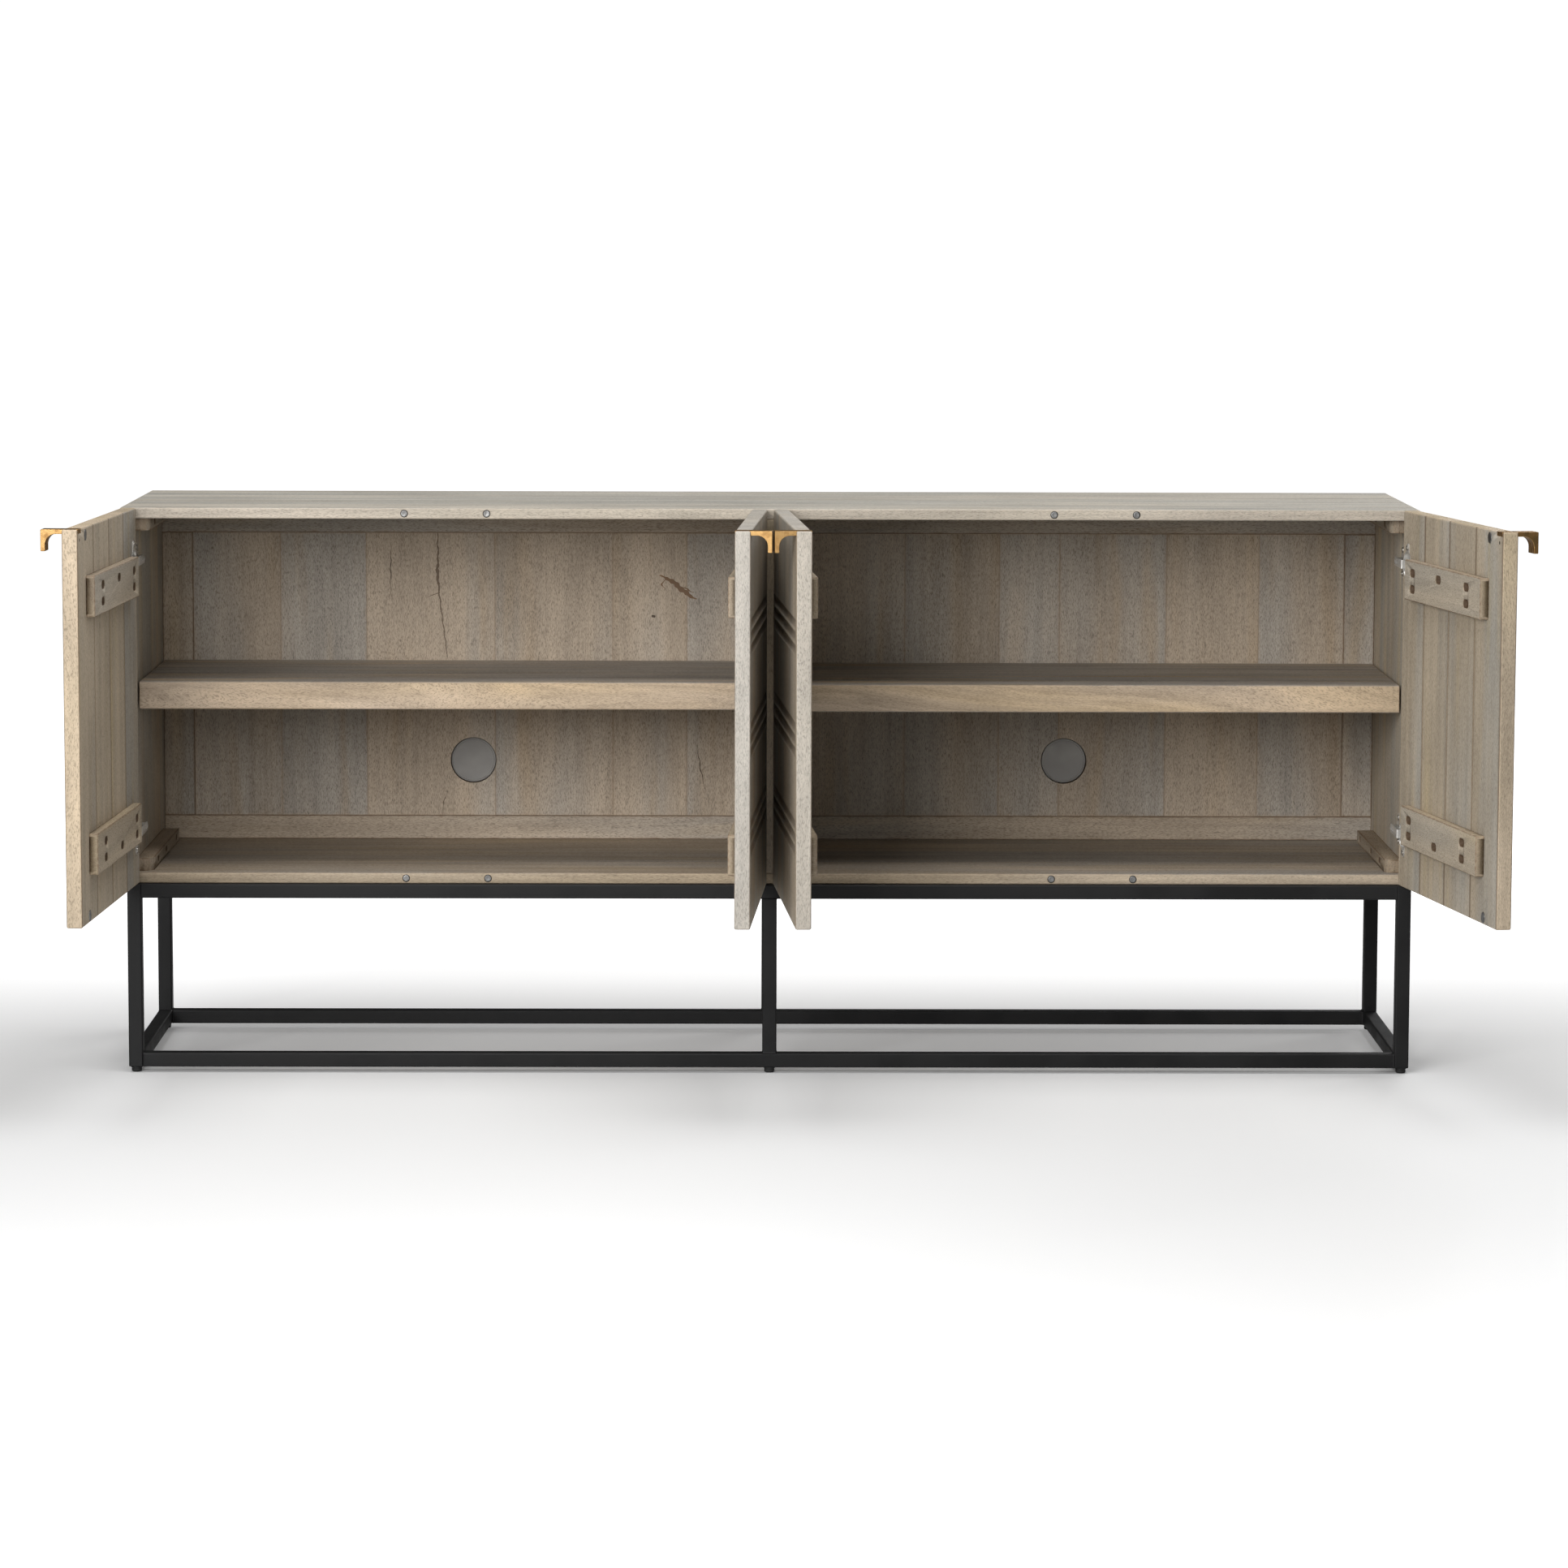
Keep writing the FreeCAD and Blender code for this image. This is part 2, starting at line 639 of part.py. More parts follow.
for row, y in zip(("front", "back"), LEG_Y):
    for place, x in (("left", -LEG_X), ("middle", 0.0), ("right", LEG_X)):
        export("leg_" + row + "_" + place, leg(x, y))
    export("rail_" + row + "_top", long_rail(y, BODY_BOTTOM - TUBE))
    export("rail_" + row + "_bottom", long_rail(y, GLIDE_H))
for place, x in (("left", -LEG_X), ("right", LEG_X)):
    export("rail_" + place + "_top", end_rail(x, BODY_BOTTOM - TUBE))
    export("rail_" + place + "_bottom", end_rail(x, GLIDE_H))
export("glides", glides())

arms = []
plates = []
for name, door in DOORS.items():
    pieces = {
        "panel": door_panel(door),
        "battens": [batten(z0) for z0 in BATTEN_Z],
        "screws": screws(batten_screw_seats() + ear_screw_seats(), DOOR_SCREW),
        "pull": pull(),
        "hinge_cups": [hinge_cup(door, z) for z in HINGE_Z],
        "catch_discs": catch_discs(),
    }
    for piece, shapes in pieces.items():
        group = shapes if isinstance(shapes, list) else [shapes]
        placed = [place_on_door(door, s) for s in group]
        export(name + "_" + piece, placed if isinstance(shapes, list) else placed[0])
    arms += [place_on_wall(door, hinge_arm(door, z)) for z in HINGE_Z]
    plates += [place_on_wall(door, hinge_plate(door, z)) for z in HINGE_Z]
export("hinge_arms", arms)
export("hinge_plates", plates)
export("cabinet_screws", screws(cleat_screw_seats(), CLEAT_SCREW)
       + screws(plate_screw_seats(), PLATE_SCREW))
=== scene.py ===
# %% [markdown]
# A low sideboard with four doors, all standing open, on a welded iron base.
# The measured model comes first: every piece made here is laid over one of its parts, in metres,
# with X along the length, Y towards the back and Z up. Its box is kept.

# %% Load the measured model
import json
import math

import bmesh
import bpy
import numpy as np
from mathutils import Matrix, Vector


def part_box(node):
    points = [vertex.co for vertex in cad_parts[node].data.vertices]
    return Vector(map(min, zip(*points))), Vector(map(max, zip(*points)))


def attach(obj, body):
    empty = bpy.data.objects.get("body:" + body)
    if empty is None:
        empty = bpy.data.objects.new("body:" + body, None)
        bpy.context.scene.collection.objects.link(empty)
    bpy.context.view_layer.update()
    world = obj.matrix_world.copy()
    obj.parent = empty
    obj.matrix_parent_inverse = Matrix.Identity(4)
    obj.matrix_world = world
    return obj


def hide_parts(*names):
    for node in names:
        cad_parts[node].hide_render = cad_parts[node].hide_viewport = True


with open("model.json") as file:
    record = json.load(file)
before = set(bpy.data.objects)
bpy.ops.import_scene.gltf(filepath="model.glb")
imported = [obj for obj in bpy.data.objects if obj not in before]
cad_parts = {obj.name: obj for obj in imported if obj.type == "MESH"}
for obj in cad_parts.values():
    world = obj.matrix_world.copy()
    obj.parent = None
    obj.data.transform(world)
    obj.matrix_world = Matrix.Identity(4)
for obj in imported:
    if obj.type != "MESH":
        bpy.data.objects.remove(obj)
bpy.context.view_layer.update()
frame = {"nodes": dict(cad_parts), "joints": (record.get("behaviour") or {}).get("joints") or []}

nodes = frame["nodes"]
chance = np.random.default_rng(41)
print("parts in the measured model:", len(nodes))

# %% [markdown]
# The viewer stands well back, a little above the top board, and looks slightly down. A long lens
# keeps the sides of the cabinet nearly parallel. The turn is built up as a lean of the head, then
# a pitch down, then a small turn to the side.

# %% Camera
VIEW_FROM = (-0.0352, -7.2711, 1.2557)
PITCH_DOWN, TURN, LEAN = math.radians(6.661), math.radians(-0.432), math.radians(0.152)

camera = bpy.data.objects.new("camera", bpy.data.cameras.new("camera"))
camera.data.sensor_width = 36.0
camera.data.lens = 120.667
camera.location = VIEW_FROM
camera.rotation_euler = (Matrix.Rotation(TURN, 3, "Z")
                         @ Matrix.Rotation(math.pi / 2 - PITCH_DOWN, 3, "X")
                         @ Matrix.Rotation(LEAN, 3, "Z")).to_euler()
bpy.context.scene.collection.objects.link(camera)
bpy.context.scene.camera = camera
print("camera", tuple(round(v, 3) for v in camera.location), "lens", camera.data.lens)

# %% [markdown]
# Most of this furniture is sticks and boards: one outline, the same from end to end. It could be
# cut from boxes and bevelled, but an outline carried along a line gives the same thing as plain
# arithmetic, and the ends can be eased by drawing the outline in as it nears them.


# %% Outlines carried along a line
def rectangle(low, high, one, two):
    """The four corners of a box as seen along its third axis."""
    return [(low[one], low[two]), (high[one], low[two]), (high[one], high[two]), (low[one], high[two])]


def grid_quads(rows, columns, closed=True):
    """Corner numbers of the faces between rows of points; a closed row's last point meets its first."""
    row, col = (v.ravel() for v in np.meshgrid(np.arange(rows - 1), np.arange(columns - (not closed)),
                                               indexing="ij"))
    after = (col + 1) % columns
    below, above = row * columns, (row + 1) * columns
    return np.stack([below + col, below + after, above + after, above + col], 1)


def square_to(axis):
    """The axis at unit length, and two directions square to it and to each other."""
    axis = np.asarray(axis, float) / np.linalg.norm(axis)
    side = np.cross(axis, (0.0, 0.0, 1.0) if abs(axis[2]) < 0.9 else (1.0, 0.0, 0.0))
    side /= np.linalg.norm(side)
    return axis, side, np.cross(axis, side)


def rounded_outline(corners, radius, steps=4):
    """A closed outline with each corner turned into an arc, and the outward direction at each point.

    At a corner the arc's centre is the corner moved inwards along both edges' normals by the
    radius (outwards where the corner is hollow), and the arc runs from one normal to the next.
    """
    corners = np.asarray(corners, float)
    ahead = np.roll(corners, -1, 0) - corners
    ahead /= np.linalg.norm(ahead, axis=1, keepdims=True)
    normal = np.stack([ahead[:, 1], -ahead[:, 0]], 1)
    before = np.roll(normal, 1, 0)
    turn = before[:, 0] * normal[:, 1] - before[:, 1] * normal[:, 0]
    bend = np.where(turn > 0, 1.0, -1.0)
    radius = np.broadcast_to(np.asarray(radius, float), turn.shape)
    spread = 1 + (before * normal).sum(1)
    centre = corners - bend[:, None] * (before + normal) * (radius / spread)[:, None]
    share = np.linspace(0, 1, steps)[None, :, None]
    way = before[:, None] * (1 - share) + normal[:, None] * share
    way /= np.linalg.norm(way, axis=2, keepdims=True)
    points = centre[:, None] + way * (bend * radius)[:, None, None]
    return points.reshape(-1, 2), way.reshape(-1, 2)


def carried(outline, outward, stations, drawn_in, place):
    """The outline repeated at each station and drawn in there by that much, joined into a skin.

    Point (i, j) is outline j minus its outward direction times drawn_in i, at distance station i;
    place turns (distance, across, up) into the room's X, Y and Z. The two ends are closed flat.
    """
    count, ring = len(stations), len(outline)
    drawn_in = np.asarray(drawn_in, float)
    if drawn_in.ndim == 1:
        drawn_in = np.repeat(drawn_in[:, None], ring, 1)
    flat = outline[None] - outward[None] * drawn_in[:, :, None]
    along = np.repeat(np.asarray(stations, float)[:, None], ring, 1)
    points = place(np.stack([along, flat[..., 0], flat[..., 1]], 2).reshape(-1, 3))
    caps = [list(range(ring))[::-1], list(range((count - 1) * ring, count * ring))]
    return points, grid_quads(count, ring).tolist() + caps


def eased_ends(length, radius, spacing, steps=4):
    """Stations from 0 to length and how far each draws in, so that both ends are quarter rounds.

    At angle a the station is radius times (1 - cos a) and the outline is drawn in by
    radius times (1 - sin a).
    """
    angle = np.linspace(0, math.pi / 2, steps)
    near, draw = radius * (1 - np.cos(angle)), radius * (1 - np.sin(angle))
    middle = np.linspace(radius, length - radius, max(3, int(length / spacing)))[1:-1]
    stations = np.concatenate([near, middle, length - near[::-1]])
    return stations, np.concatenate([draw, np.zeros(len(middle)), draw[::-1]])


print("outline helpers ready")

# %% [markdown]
# A skin becomes a piece once it is in a mesh, rides on the cabinet or on its door, and is
# shaded smooth with crisp edges kept. The broad faces of a board would shade as if they were
# domed where they meet a rounded edge, so the largest faces are given the most say in the shading.


# %% From skins to pieces
CRISP = math.radians(38)
SEWN = 2e-6


def smooth(mesh):
    mesh.polygons.foreach_set("use_smooth", np.ones(len(mesh.polygons), bool))
    mesh.set_sharp_from_angle(angle=CRISP)


def reshaped(mesh, change, into=None):
    """Make a change to a mesh's editable shape, and write it back or into another mesh."""
    shape = bmesh.new()
    shape.from_mesh(mesh)
    change(shape)
    shape.to_mesh(into or mesh)
    shape.free()


def link_piece(name, mesh, body):
    """Put a mesh in the scene as a piece that rides on a body, smooth except at crisp edges."""
    smooth(mesh)
    piece = bpy.data.objects.new(name, mesh)
    bpy.context.scene.collection.objects.link(piece)
    even = piece.modifiers.new("even shading", "WEIGHTED_NORMAL")
    even.keep_sharp = True
    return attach(piece, body)


def stacked(skins):
    """Several skins as one: each one's faces count on from the points before it."""
    starts = np.cumsum([0] + [len(points) for points, _ in skins])
    faces = [[int(corner + start) for corner in face]
             for (_, skin_faces), start in zip(skins, starts) for face in skin_faces]
    return np.concatenate([points for points, _ in skins]), faces


def make_piece(name, skins, body="cabinet"):
    """One piece from one or more closed skins, with all faces turned outwards."""
    points, faces = stacked(skins)
    mesh = bpy.data.meshes.new(name)
    mesh.from_pydata(points.tolist(), [], faces)
    reshaped(mesh, lambda shape: bmesh.ops.recalc_face_normals(shape, faces=shape.faces))
    return link_piece(name, mesh, body)


def taken_over(node, name, body):
    """A copy of a measured part with its loose triangles sewn together, standing for that part."""
    mesh = bpy.data.meshes.new(name)
    reshaped(nodes[node].data, lambda shape: bmesh.ops.remove_doubles(shape, verts=shape.verts, dist=SEWN),
             mesh)
    piece = link_piece(name, mesh, body)
    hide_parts(node)
    return piece


print("crisp edges are kept above", round(math.degrees(CRISP)), "degrees")

# %% [markdown]
# Wood is not painted on a surface: the same fibres run through the board and come out on every
# face. So each stave gets its own three measures, along, across and through the board, and the
# grain is worked out from those. Wide panels are glued up from staves, so a panel is first sawn
# into them. Each stave also remembers its size, for wear near its edges, how light or dark it is,
# and which faces are cut edges, because those take less of the grey wash.


# %% Staves and their grain
AXIS = {"x": 0, "y": 1, "z": 2}


def straight(along, across, through):
    """The board's own measures for a board that lies square to the room."""
    order = [AXIS[along], AXIS[across], AXIS[through]]
    return lambda points: np.asarray(points)[:, order]


def listed(items, what, kind=float):
    """One value, or one row of three, for every item in a mesh's list."""
    width = 3 if what in ("co", "normal") else 2 if what == "vertices" else 1
    values = np.empty(len(items) * width, kind)
    items.foreach_get(what, values)
    return values.reshape(-1, width) if width > 1 else values


def loose_shells(mesh):
    """Number each vertex by its shell: it takes its neighbours' lowest number until none changes."""
    one, other = listed(mesh.edges, "vertices", np.int32).T
    label = np.arange(len(mesh.vertices))
    while True:
        lowest = label.copy()
        np.minimum.at(lowest, one, label[other])
        np.minimum.at(lowest, other, label[one])
        lowest = lowest[lowest]
        if (lowest == label).all():
            return label
        label = lowest


def saw(mesh, to_board, cuts):
    """Score the mesh along each cut: a plane square to the board's across direction."""
    if not len(cuts):
        return
    start = to_board(np.zeros((1, 3)))[0][1]
    across = to_board(np.eye(3))[:, 1] - start

    def score(shape):
        for cut in cuts:
            everything = shape.verts[:] + shape.edges[:] + shape.faces[:]
            bmesh.ops.bisect_plane(shape, geom=everything, dist=1e-6,
                                   plane_co=across * (cut - start), plane_no=across)
    reshaped(mesh, score)
    smooth(mesh)


def lay_grain(piece, to_board, cuts=(), tones=None):
    """Write place, half_size, seed, tone and trim on the piece's faces, stave by stave.

    place is the distance from the stave's middle along, across and through the board.
    trim is 1 on faces that look along or across the board and 0 on its broad faces.
    """
    mesh = piece.data
    saw(mesh, to_board, cuts)
    corner_vertex = listed(mesh.loops, "vertex_index", np.int32)
    board = to_board(listed(mesh.vertices, "co"))[corner_vertex]
    per_face = listed(mesh.polygons, "loop_total", np.int32)
    face_of = np.repeat(np.arange(len(per_face)), per_face)
    middle = np.zeros((len(per_face), 3))
    np.add.at(middle, face_of, board)
    middle /= per_face[:, None]
    shell = np.zeros(len(per_face), int)
    shell[face_of] = loose_shells(mesh)[corner_vertex]
    stave = np.searchsorted(np.asarray(cuts, float), middle[:, 1])
    kind, group = np.unique(shell * 100 + stave, return_inverse=True)
    low = np.full((len(kind), 3), np.inf)
    high = -low
    np.minimum.at(low, group[face_of], board)
    np.maximum.at(high, group[face_of], board)
    facing = np.abs(to_board(listed(mesh.polygons, "normal")) - to_board(np.zeros((1, 3))))
    seeds = chance.uniform(0, 1, len(kind))
    shade = chance.uniform(-0.6, 0.6, len(kind)) if tones is None else np.resize(tones, len(kind))
    write = [("place", "FLOAT_VECTOR", "CORNER", board - ((low + high) / 2)[group[face_of]]),
             ("half_size", "FLOAT_VECTOR", "FACE", ((high - low) / 2)[group]),
             ("seed", "FLOAT", "FACE", seeds[group]),
             ("tone", "FLOAT", "FACE", shade[group]),
             ("trim", "FLOAT", "FACE", (facing[:, 2] < 0.6).astype(float))]
    for name, kind_of, where, values in write:
        layer = mesh.attributes.new(name, kind_of, where)
        layer.data.foreach_set("vector" if values.ndim == 2 else "value",
                               np.ascontiguousarray(values, np.float32).ravel())
    return len(kind)


print("wood measures ready")

# %% [markdown]
# Finishes are built from shader nodes. Two small helpers keep that readable: one adds a node and
# sets or links its inputs, the other opens a node group, which is one effect (grain, wear,
# brushing) that several finishes share, each with its own values.


# %% Node helpers
def put(tree, kind, values=None, **settings):
    """Add a node. Each value is a number for that input, or another node's output to link to it."""
    made = tree.nodes.new("ShaderNode" + kind)
    for key, setting in settings.items():
        setattr(made, key, setting)
    for key, value in (values or {}).items():
        if isinstance(value, bpy.types.NodeSocket):
            tree.links.new(value, made.inputs[key])
        else:
            made.inputs[key].default_value = value
    return made


def maths(tree, operation, first, second):
    return put(tree, "Math", {0: first, 1: second}, operation=operation).outputs[0]


def times(tree, first, second):
    return maths(tree, "MULTIPLY", first, second)


def plus(tree, first, second):
    return maths(tree, "ADD", first, second)


def less(tree, first, second):
    return maths(tree, "SUBTRACT", first, second)


def on_vectors(tree, operation, first, second=None):
    values = {0: first} if second is None else {0: first, 1: second}
    return put(tree, "VectorMath", values, operation=operation).outputs[0]


def scaled(tree, vector, amount):
    return put(tree, "VectorMath", {0: vector, 3: amount}, operation="SCALE").outputs[0]


def between(tree, value, low, high, start=0.0, end=1.0):
    """A soft step: start below low, end above high."""
    return put(tree, "MapRange", {0: value, 1: low, 2: high, 3: start, 4: end},
               interpolation_type="SMOOTHSTEP").outputs[0]


def mixed(tree, share, first, second, how="MIX"):
    return put(tree, "Mix", {0: share, 6: first, 7: second},
               data_type="RGBA", blend_type=how).outputs[2]


def noise(tree, place, stretch, detail=2.0, rough=0.5):
    """Noise whose pattern repeats stretch times per metre along each direction."""
    return put(tree, "TexNoise", {"Vector": on_vectors(tree, "MULTIPLY", place, stretch),
                                  "Scale": 1.0, "Detail": detail, "Roughness": rough})


def new_effect(name, inputs, outputs):
    """A node group with named inputs (name, kind, value) and outputs (name, kind)."""
    group = bpy.data.node_groups.new(name, "ShaderNodeTree")
    for label, kind, value in inputs:
        socket = group.interface.new_socket(label, in_out="INPUT", socket_type="NodeSocket" + kind)
        if value is not None:
            socket.default_value = value
    for label, kind in outputs:
        group.interface.new_socket(label, in_out="OUTPUT", socket_type="NodeSocket" + kind)
    given = group.nodes.new("NodeGroupInput").outputs
    return group, given, group.nodes.new("NodeGroupOutput").inputs


def use(tree, group, values):
    return put(tree, "Group", values, node_tree=group).outputs


def surfaced(tree, shader, colour, roughness, height, strength, depth):
    """Link a finish's colour and roughness, and its height by way of a bump."""
    tree.links.new(colour, shader.inputs["Base Color"])
    tree.links.new(roughness, shader.inputs["Roughness"])
    bump = put(tree, "Bump", {"Strength": strength, "Distance": depth, "Height": height})
    tree.links.new(bump.outputs["Normal"], shader.inputs["Normal"])


def new_finish(name, **fixed):
    """An empty material; what is the same all over is set on the shader's own sockets."""
    finish = bpy.data.materials.new(name)
    finish.use_nodes = True
    shader = finish.node_tree.nodes["Principled BSDF"]
    for key, value in fixed.items():
        shader.inputs[key.replace("_", " ").title().replace("Ior", "IOR")].default_value = value
    return finish.node_tree, shader, finish


print("node helpers ready")

# %% [markdown]
# The wood is mango under a thin grey wash. Up close it is a mottle of short dark pores, a few
# millimetres long, over soft streaks that run the length of the board and drift between grey,
# beige and straw. Image textures would tile and stop at the edges, so the grain is noise in the
# stave's own measures, stretched along the fibres. A slow noise bends the fibres sideways first.

# %% Grain under a grey wash
grain, given, result = new_effect(
    "washed grain",
    [("Place", "Vector", None), ("Seed", "Float", 0.0), ("Tone", "Float", 0.0),
     ("Trim", "Float", 0.0), ("Grey", "Color", (0.4, 0.38, 0.34, 1)),
     ("Beige", "Color", (0.44, 0.36, 0.27, 1)), ("Straw", "Color", (0.5, 0.38, 0.22, 1)),
     ("Cut edge", "Color", (0.5, 0.4, 0.28, 1)), ("Figure", "Float", 1.0), ("Pores", "Float", 1.0),
     ("Streaks", "Float", 1.0)],
    [("Color", "Color"), ("Roughness", "Float"), ("Height", "Float")])
g = grain
moved = on_vectors(g, "ADD", given["Place"], scaled(g, (31.7, 17.9, 11.3), given["Seed"]))
sway = on_vectors(g, "SUBTRACT", noise(g, moved, (0.9, 6, 6)).outputs["Color"], (0.5, 0.5, 0.5))
ripple = on_vectors(g, "SUBTRACT", noise(g, moved, (14, 60, 60)).outputs["Color"], (0.5, 0.5, 0.5))
slant = times(g, given["Figure"], plus(g, 1.0, times(g, given["Trim"], 3.0)))
bent = on_vectors(g, "MULTIPLY", scaled(g, sway, slant), (0.0, 0.05, 0.05))
fibre = on_vectors(g, "ADD", moved, on_vectors(g, "ADD", bent, scaled(g, ripple, 0.0022)))
drift = noise(g, fibre, (1.3, 9, 9)).outputs["Fac"]
streak = noise(g, fibre, (1.6, 52, 52), 4, 0.62).outputs["Fac"]
cloud = noise(g, moved, (5, 13, 13), 3, 0.55).outputs["Fac"]
yellow = noise(g, fibre, (2.3, 24, 24)).outputs["Fac"]
line = noise(g, fibre, (9, 420, 420)).outputs["Fac"]
mottle = noise(g, fibre, (115, 430, 430), 2, 0.6).outputs["Fac"]
pore = between(g, noise(g, fibre, (230, 1400, 1400), 1).outputs["Fac"], 0.50, 0.66)
tint = plus(g, drift, times(g, given["Tone"], 0.16))
ground = mixed(g, between(g, tint, 0.36, 0.64), given["Grey"], given["Beige"])
ground = mixed(g, between(g, yellow, 0.52, 0.78, 0.0, 0.7), ground, given["Straw"])
sanded = mixed(g, between(g, drift, 0.40, 0.62, 0.0, 0.55), given["Cut edge"], given["Straw"])
ground = mixed(g, times(g, given["Trim"], 0.85), ground, sanded)
deep = times(g, given["Streaks"], 0.62)
light = plus(g, 1.0, times(g, less(g, streak, 0.5), deep))
for part, middle, share in ((line, 0.5, 0.26), (mottle, 0.5, 0.40), (cloud, 0.5, 0.55),
                            (given["Tone"], 0.0, 0.09)):
    light = plus(g, light, times(g, less(g, part, middle), share))
dark = times(g, pore, times(g, given["Pores"], 0.30))
light = times(g, light, less(g, 1.0, dark))
g.links.new(scaled(g, ground, light), result["Color"])
g.links.new(between(g, plus(g, line, pore), 0.2, 1.6, 0.52, 0.78), result["Roughness"])
g.links.new(less(g, times(g, line, 0.4), pore), result["Height"])
print("grain group:", len(g.nodes), "nodes")

# %% [markdown]
# Edges are where furniture ages. On a block, one of the three distances to the faces is nothing
# on the surface itself, and the middle one of the three is how far the nearest edge is. A mask
# from that distance, broken up by noise, serves for rubbed edges when it is wide and for the
# fine dark line in a glued joint when it is narrow. Where none of the three distances is nothing,
# the surface lies inside a slot or a hole, and there a third mask paints shade, so long as it is
# well in from the rounded ends.

# %% Distance to the nearest edge
edge_wear_and_recess_shade, given, result = new_effect(
    "edge wear and recess shade",
    [("Place", "Vector", None), ("Half size", "Vector", None), ("Width", "Float", 0.004),
     ("Break-up", "Float", 0.5)], [("Mask", "Float"), ("Joint", "Float"), ("Recess shade", "Float")])
w = edge_wear_and_recess_shade
gaps = on_vectors(w, "SUBTRACT", given["Half size"], on_vectors(w, "ABSOLUTE", given["Place"]))
gap = put(w, "SeparateXYZ", {0: gaps}).outputs
inner = maths(w, "MINIMUM", maths(w, "MAXIMUM", gap[0], gap[1]), gap[2])
middle_gap = maths(w, "MAXIMUM", maths(w, "MINIMUM", gap[0], gap[1]), inner)
patch = noise(w, given["Place"], (60, 160, 160), 3).outputs["Fac"]
loose = times(w, less(w, patch, 0.5), given["Break-up"])
reach = maths(w, "DIVIDE", middle_gap, given["Width"])
w.links.new(between(w, plus(w, reach, times(w, loose, 4.0)), 0.0, 1.0, 1.0, 0.0),
            result["Mask"])
sideways = maths(w, "DIVIDE", gap[1], given["Width"])
w.links.new(between(w, plus(w, sideways, loose), 0.0, 1.0, 1.0, 0.0), result["Joint"])
nearest = maths(w, "MINIMUM", maths(w, "MINIMUM", gap[0], gap[1]), gap[2])
w.links.new(times(w, between(w, nearest, 0.0004, 0.0016), between(w, gap[0], 0.012, 0.016)),
            result["Recess shade"])
print("edge wear and recess shade group:", len(w.nodes), "nodes")

# %% [markdown]
# Every board shares one recipe and differs in its colours and in how strong each effect is: the
# broad faces are greyest, planks inside are browner, and cut edges are warm and light because the
# wash was sanded through.


# %% Wood finishes
def washed_wood(name, grey, beige, straw, cut_edge, figure=1.0, pores=1.0, streaks=1.0, seam=0.45,
                seam_width=0.0011, worn=0.3, recess_shade=0.7, glued=0.0, glued_width=0.003):
    """A wood finish: the grain, rubbed edges over it, brown lines at glued joints, painted shade in slots.
    """
    tree, shader, finish = new_finish(name, specular_ior_level=0.28)
    read = {key: put(tree, "Attribute", attribute_name=key).outputs
            for key in ("place", "half_size", "seed", "tone", "trim")}
    place, half = read["place"]["Vector"], read["half_size"]["Vector"]
    wood = use(tree, grain, {"Place": place, "Seed": read["seed"]["Fac"],
                             "Tone": read["tone"]["Fac"], "Trim": read["trim"]["Fac"],
                             "Grey": (*grey, 1), "Beige": (*beige, 1), "Straw": (*straw, 1),
                             "Cut edge": (*cut_edge, 1), "Figure": figure, "Pores": pores,
                             "Streaks": streaks})
    rubbed, near, beside = (use(tree, edge_wear_and_recess_shade, {"Place": place, "Half size": half, "Width": width,
                                                  "Break-up": broken})
                            for width, broken in ((0.0035, 0.6), (seam_width, 0.35), (glued_width, 0.3)))
    colour = mixed(tree, times(tree, rubbed["Mask"], worn), wood["Color"],
                   (cut_edge[0] * 1.1, cut_edge[1] * 1.05, cut_edge[2], 1))
    colour = mixed(tree, times(tree, near["Mask"], seam), colour, (0.13, 0.075, 0.038, 1))
    broad = less(tree, 1.0, read["trim"]["Fac"])
    line_share = times(tree, times(tree, beside["Joint"], broad), glued)
    colour = mixed(tree, line_share, colour, (0.13, 0.085, 0.05, 1))
    # Painted shade: the insides of slots and holes are darkened to a deep brown.
    colour = mixed(tree, times(tree, near["Recess shade"], recess_shade), colour, (0.11, 0.07, 0.042, 1))
    surfaced(tree, shader, colour, wood["Roughness"], wood["Height"], 0.35, 0.0006)
    return finish


GREY, BEIGE, STRAW = (0.385, 0.355, 0.305), (0.42, 0.35, 0.265), (0.46, 0.375, 0.24)
WARM_CUT, GREY_CUT = (0.53, 0.425, 0.305), (0.49, 0.455, 0.405)
top_wood = washed_wood("washed_top_wood", (0.43, 0.41, 0.365), (0.48, 0.44, 0.375), (0.45, 0.40, 0.32),
                       (0.52, 0.455, 0.375), figure=0.5, streaks=1.8, seam=0.10)
body_wood = washed_wood("washed_body_wood", GREY, BEIGE, STRAW, (0.46, 0.385, 0.295), streaks=1.2, seam=0.3)
door_wood = washed_wood("washed_door_wood", GREY, (0.425, 0.355, 0.265), (0.47, 0.38, 0.23), WARM_CUT,
                        figure=0.7, streaks=1.2, seam=0.5, recess_shade=0.3, glued=0.75, glued_width=0.0055)
middle_door_wood = washed_wood("washed_middle_door_wood", GREY, BEIGE, (0.45, 0.41, 0.35), GREY_CUT,
                               figure=0.7, seam=0.5, recess_shade=0.3, glued=0.6)
shelf_wood = washed_wood("washed_shelf_wood", (0.37, 0.335, 0.30), (0.40, 0.35, 0.295),
                         (0.52, 0.375, 0.20), (0.48, 0.375, 0.27), figure=1.7, streaks=1.9, seam=0.3)
back_wood = washed_wood("washed_back_wood", (0.395, 0.355, 0.305), (0.44, 0.36, 0.275),
                        (0.42, 0.32, 0.215), (0.40, 0.32, 0.24), pores=1.4, streaks=0.8, seam=0.2,
                        glued=0.18, glued_width=0.002)
back_frame_wood = washed_wood("washed_back_frame_wood", (0.385, 0.345, 0.295), (0.43, 0.35, 0.265),
                              (0.42, 0.33, 0.225), (0.30, 0.22, 0.15), pores=1.3, streaks=1.3, seam=0.75,
                              seam_width=0.0016, glued=0.55, glued_width=0.0028)
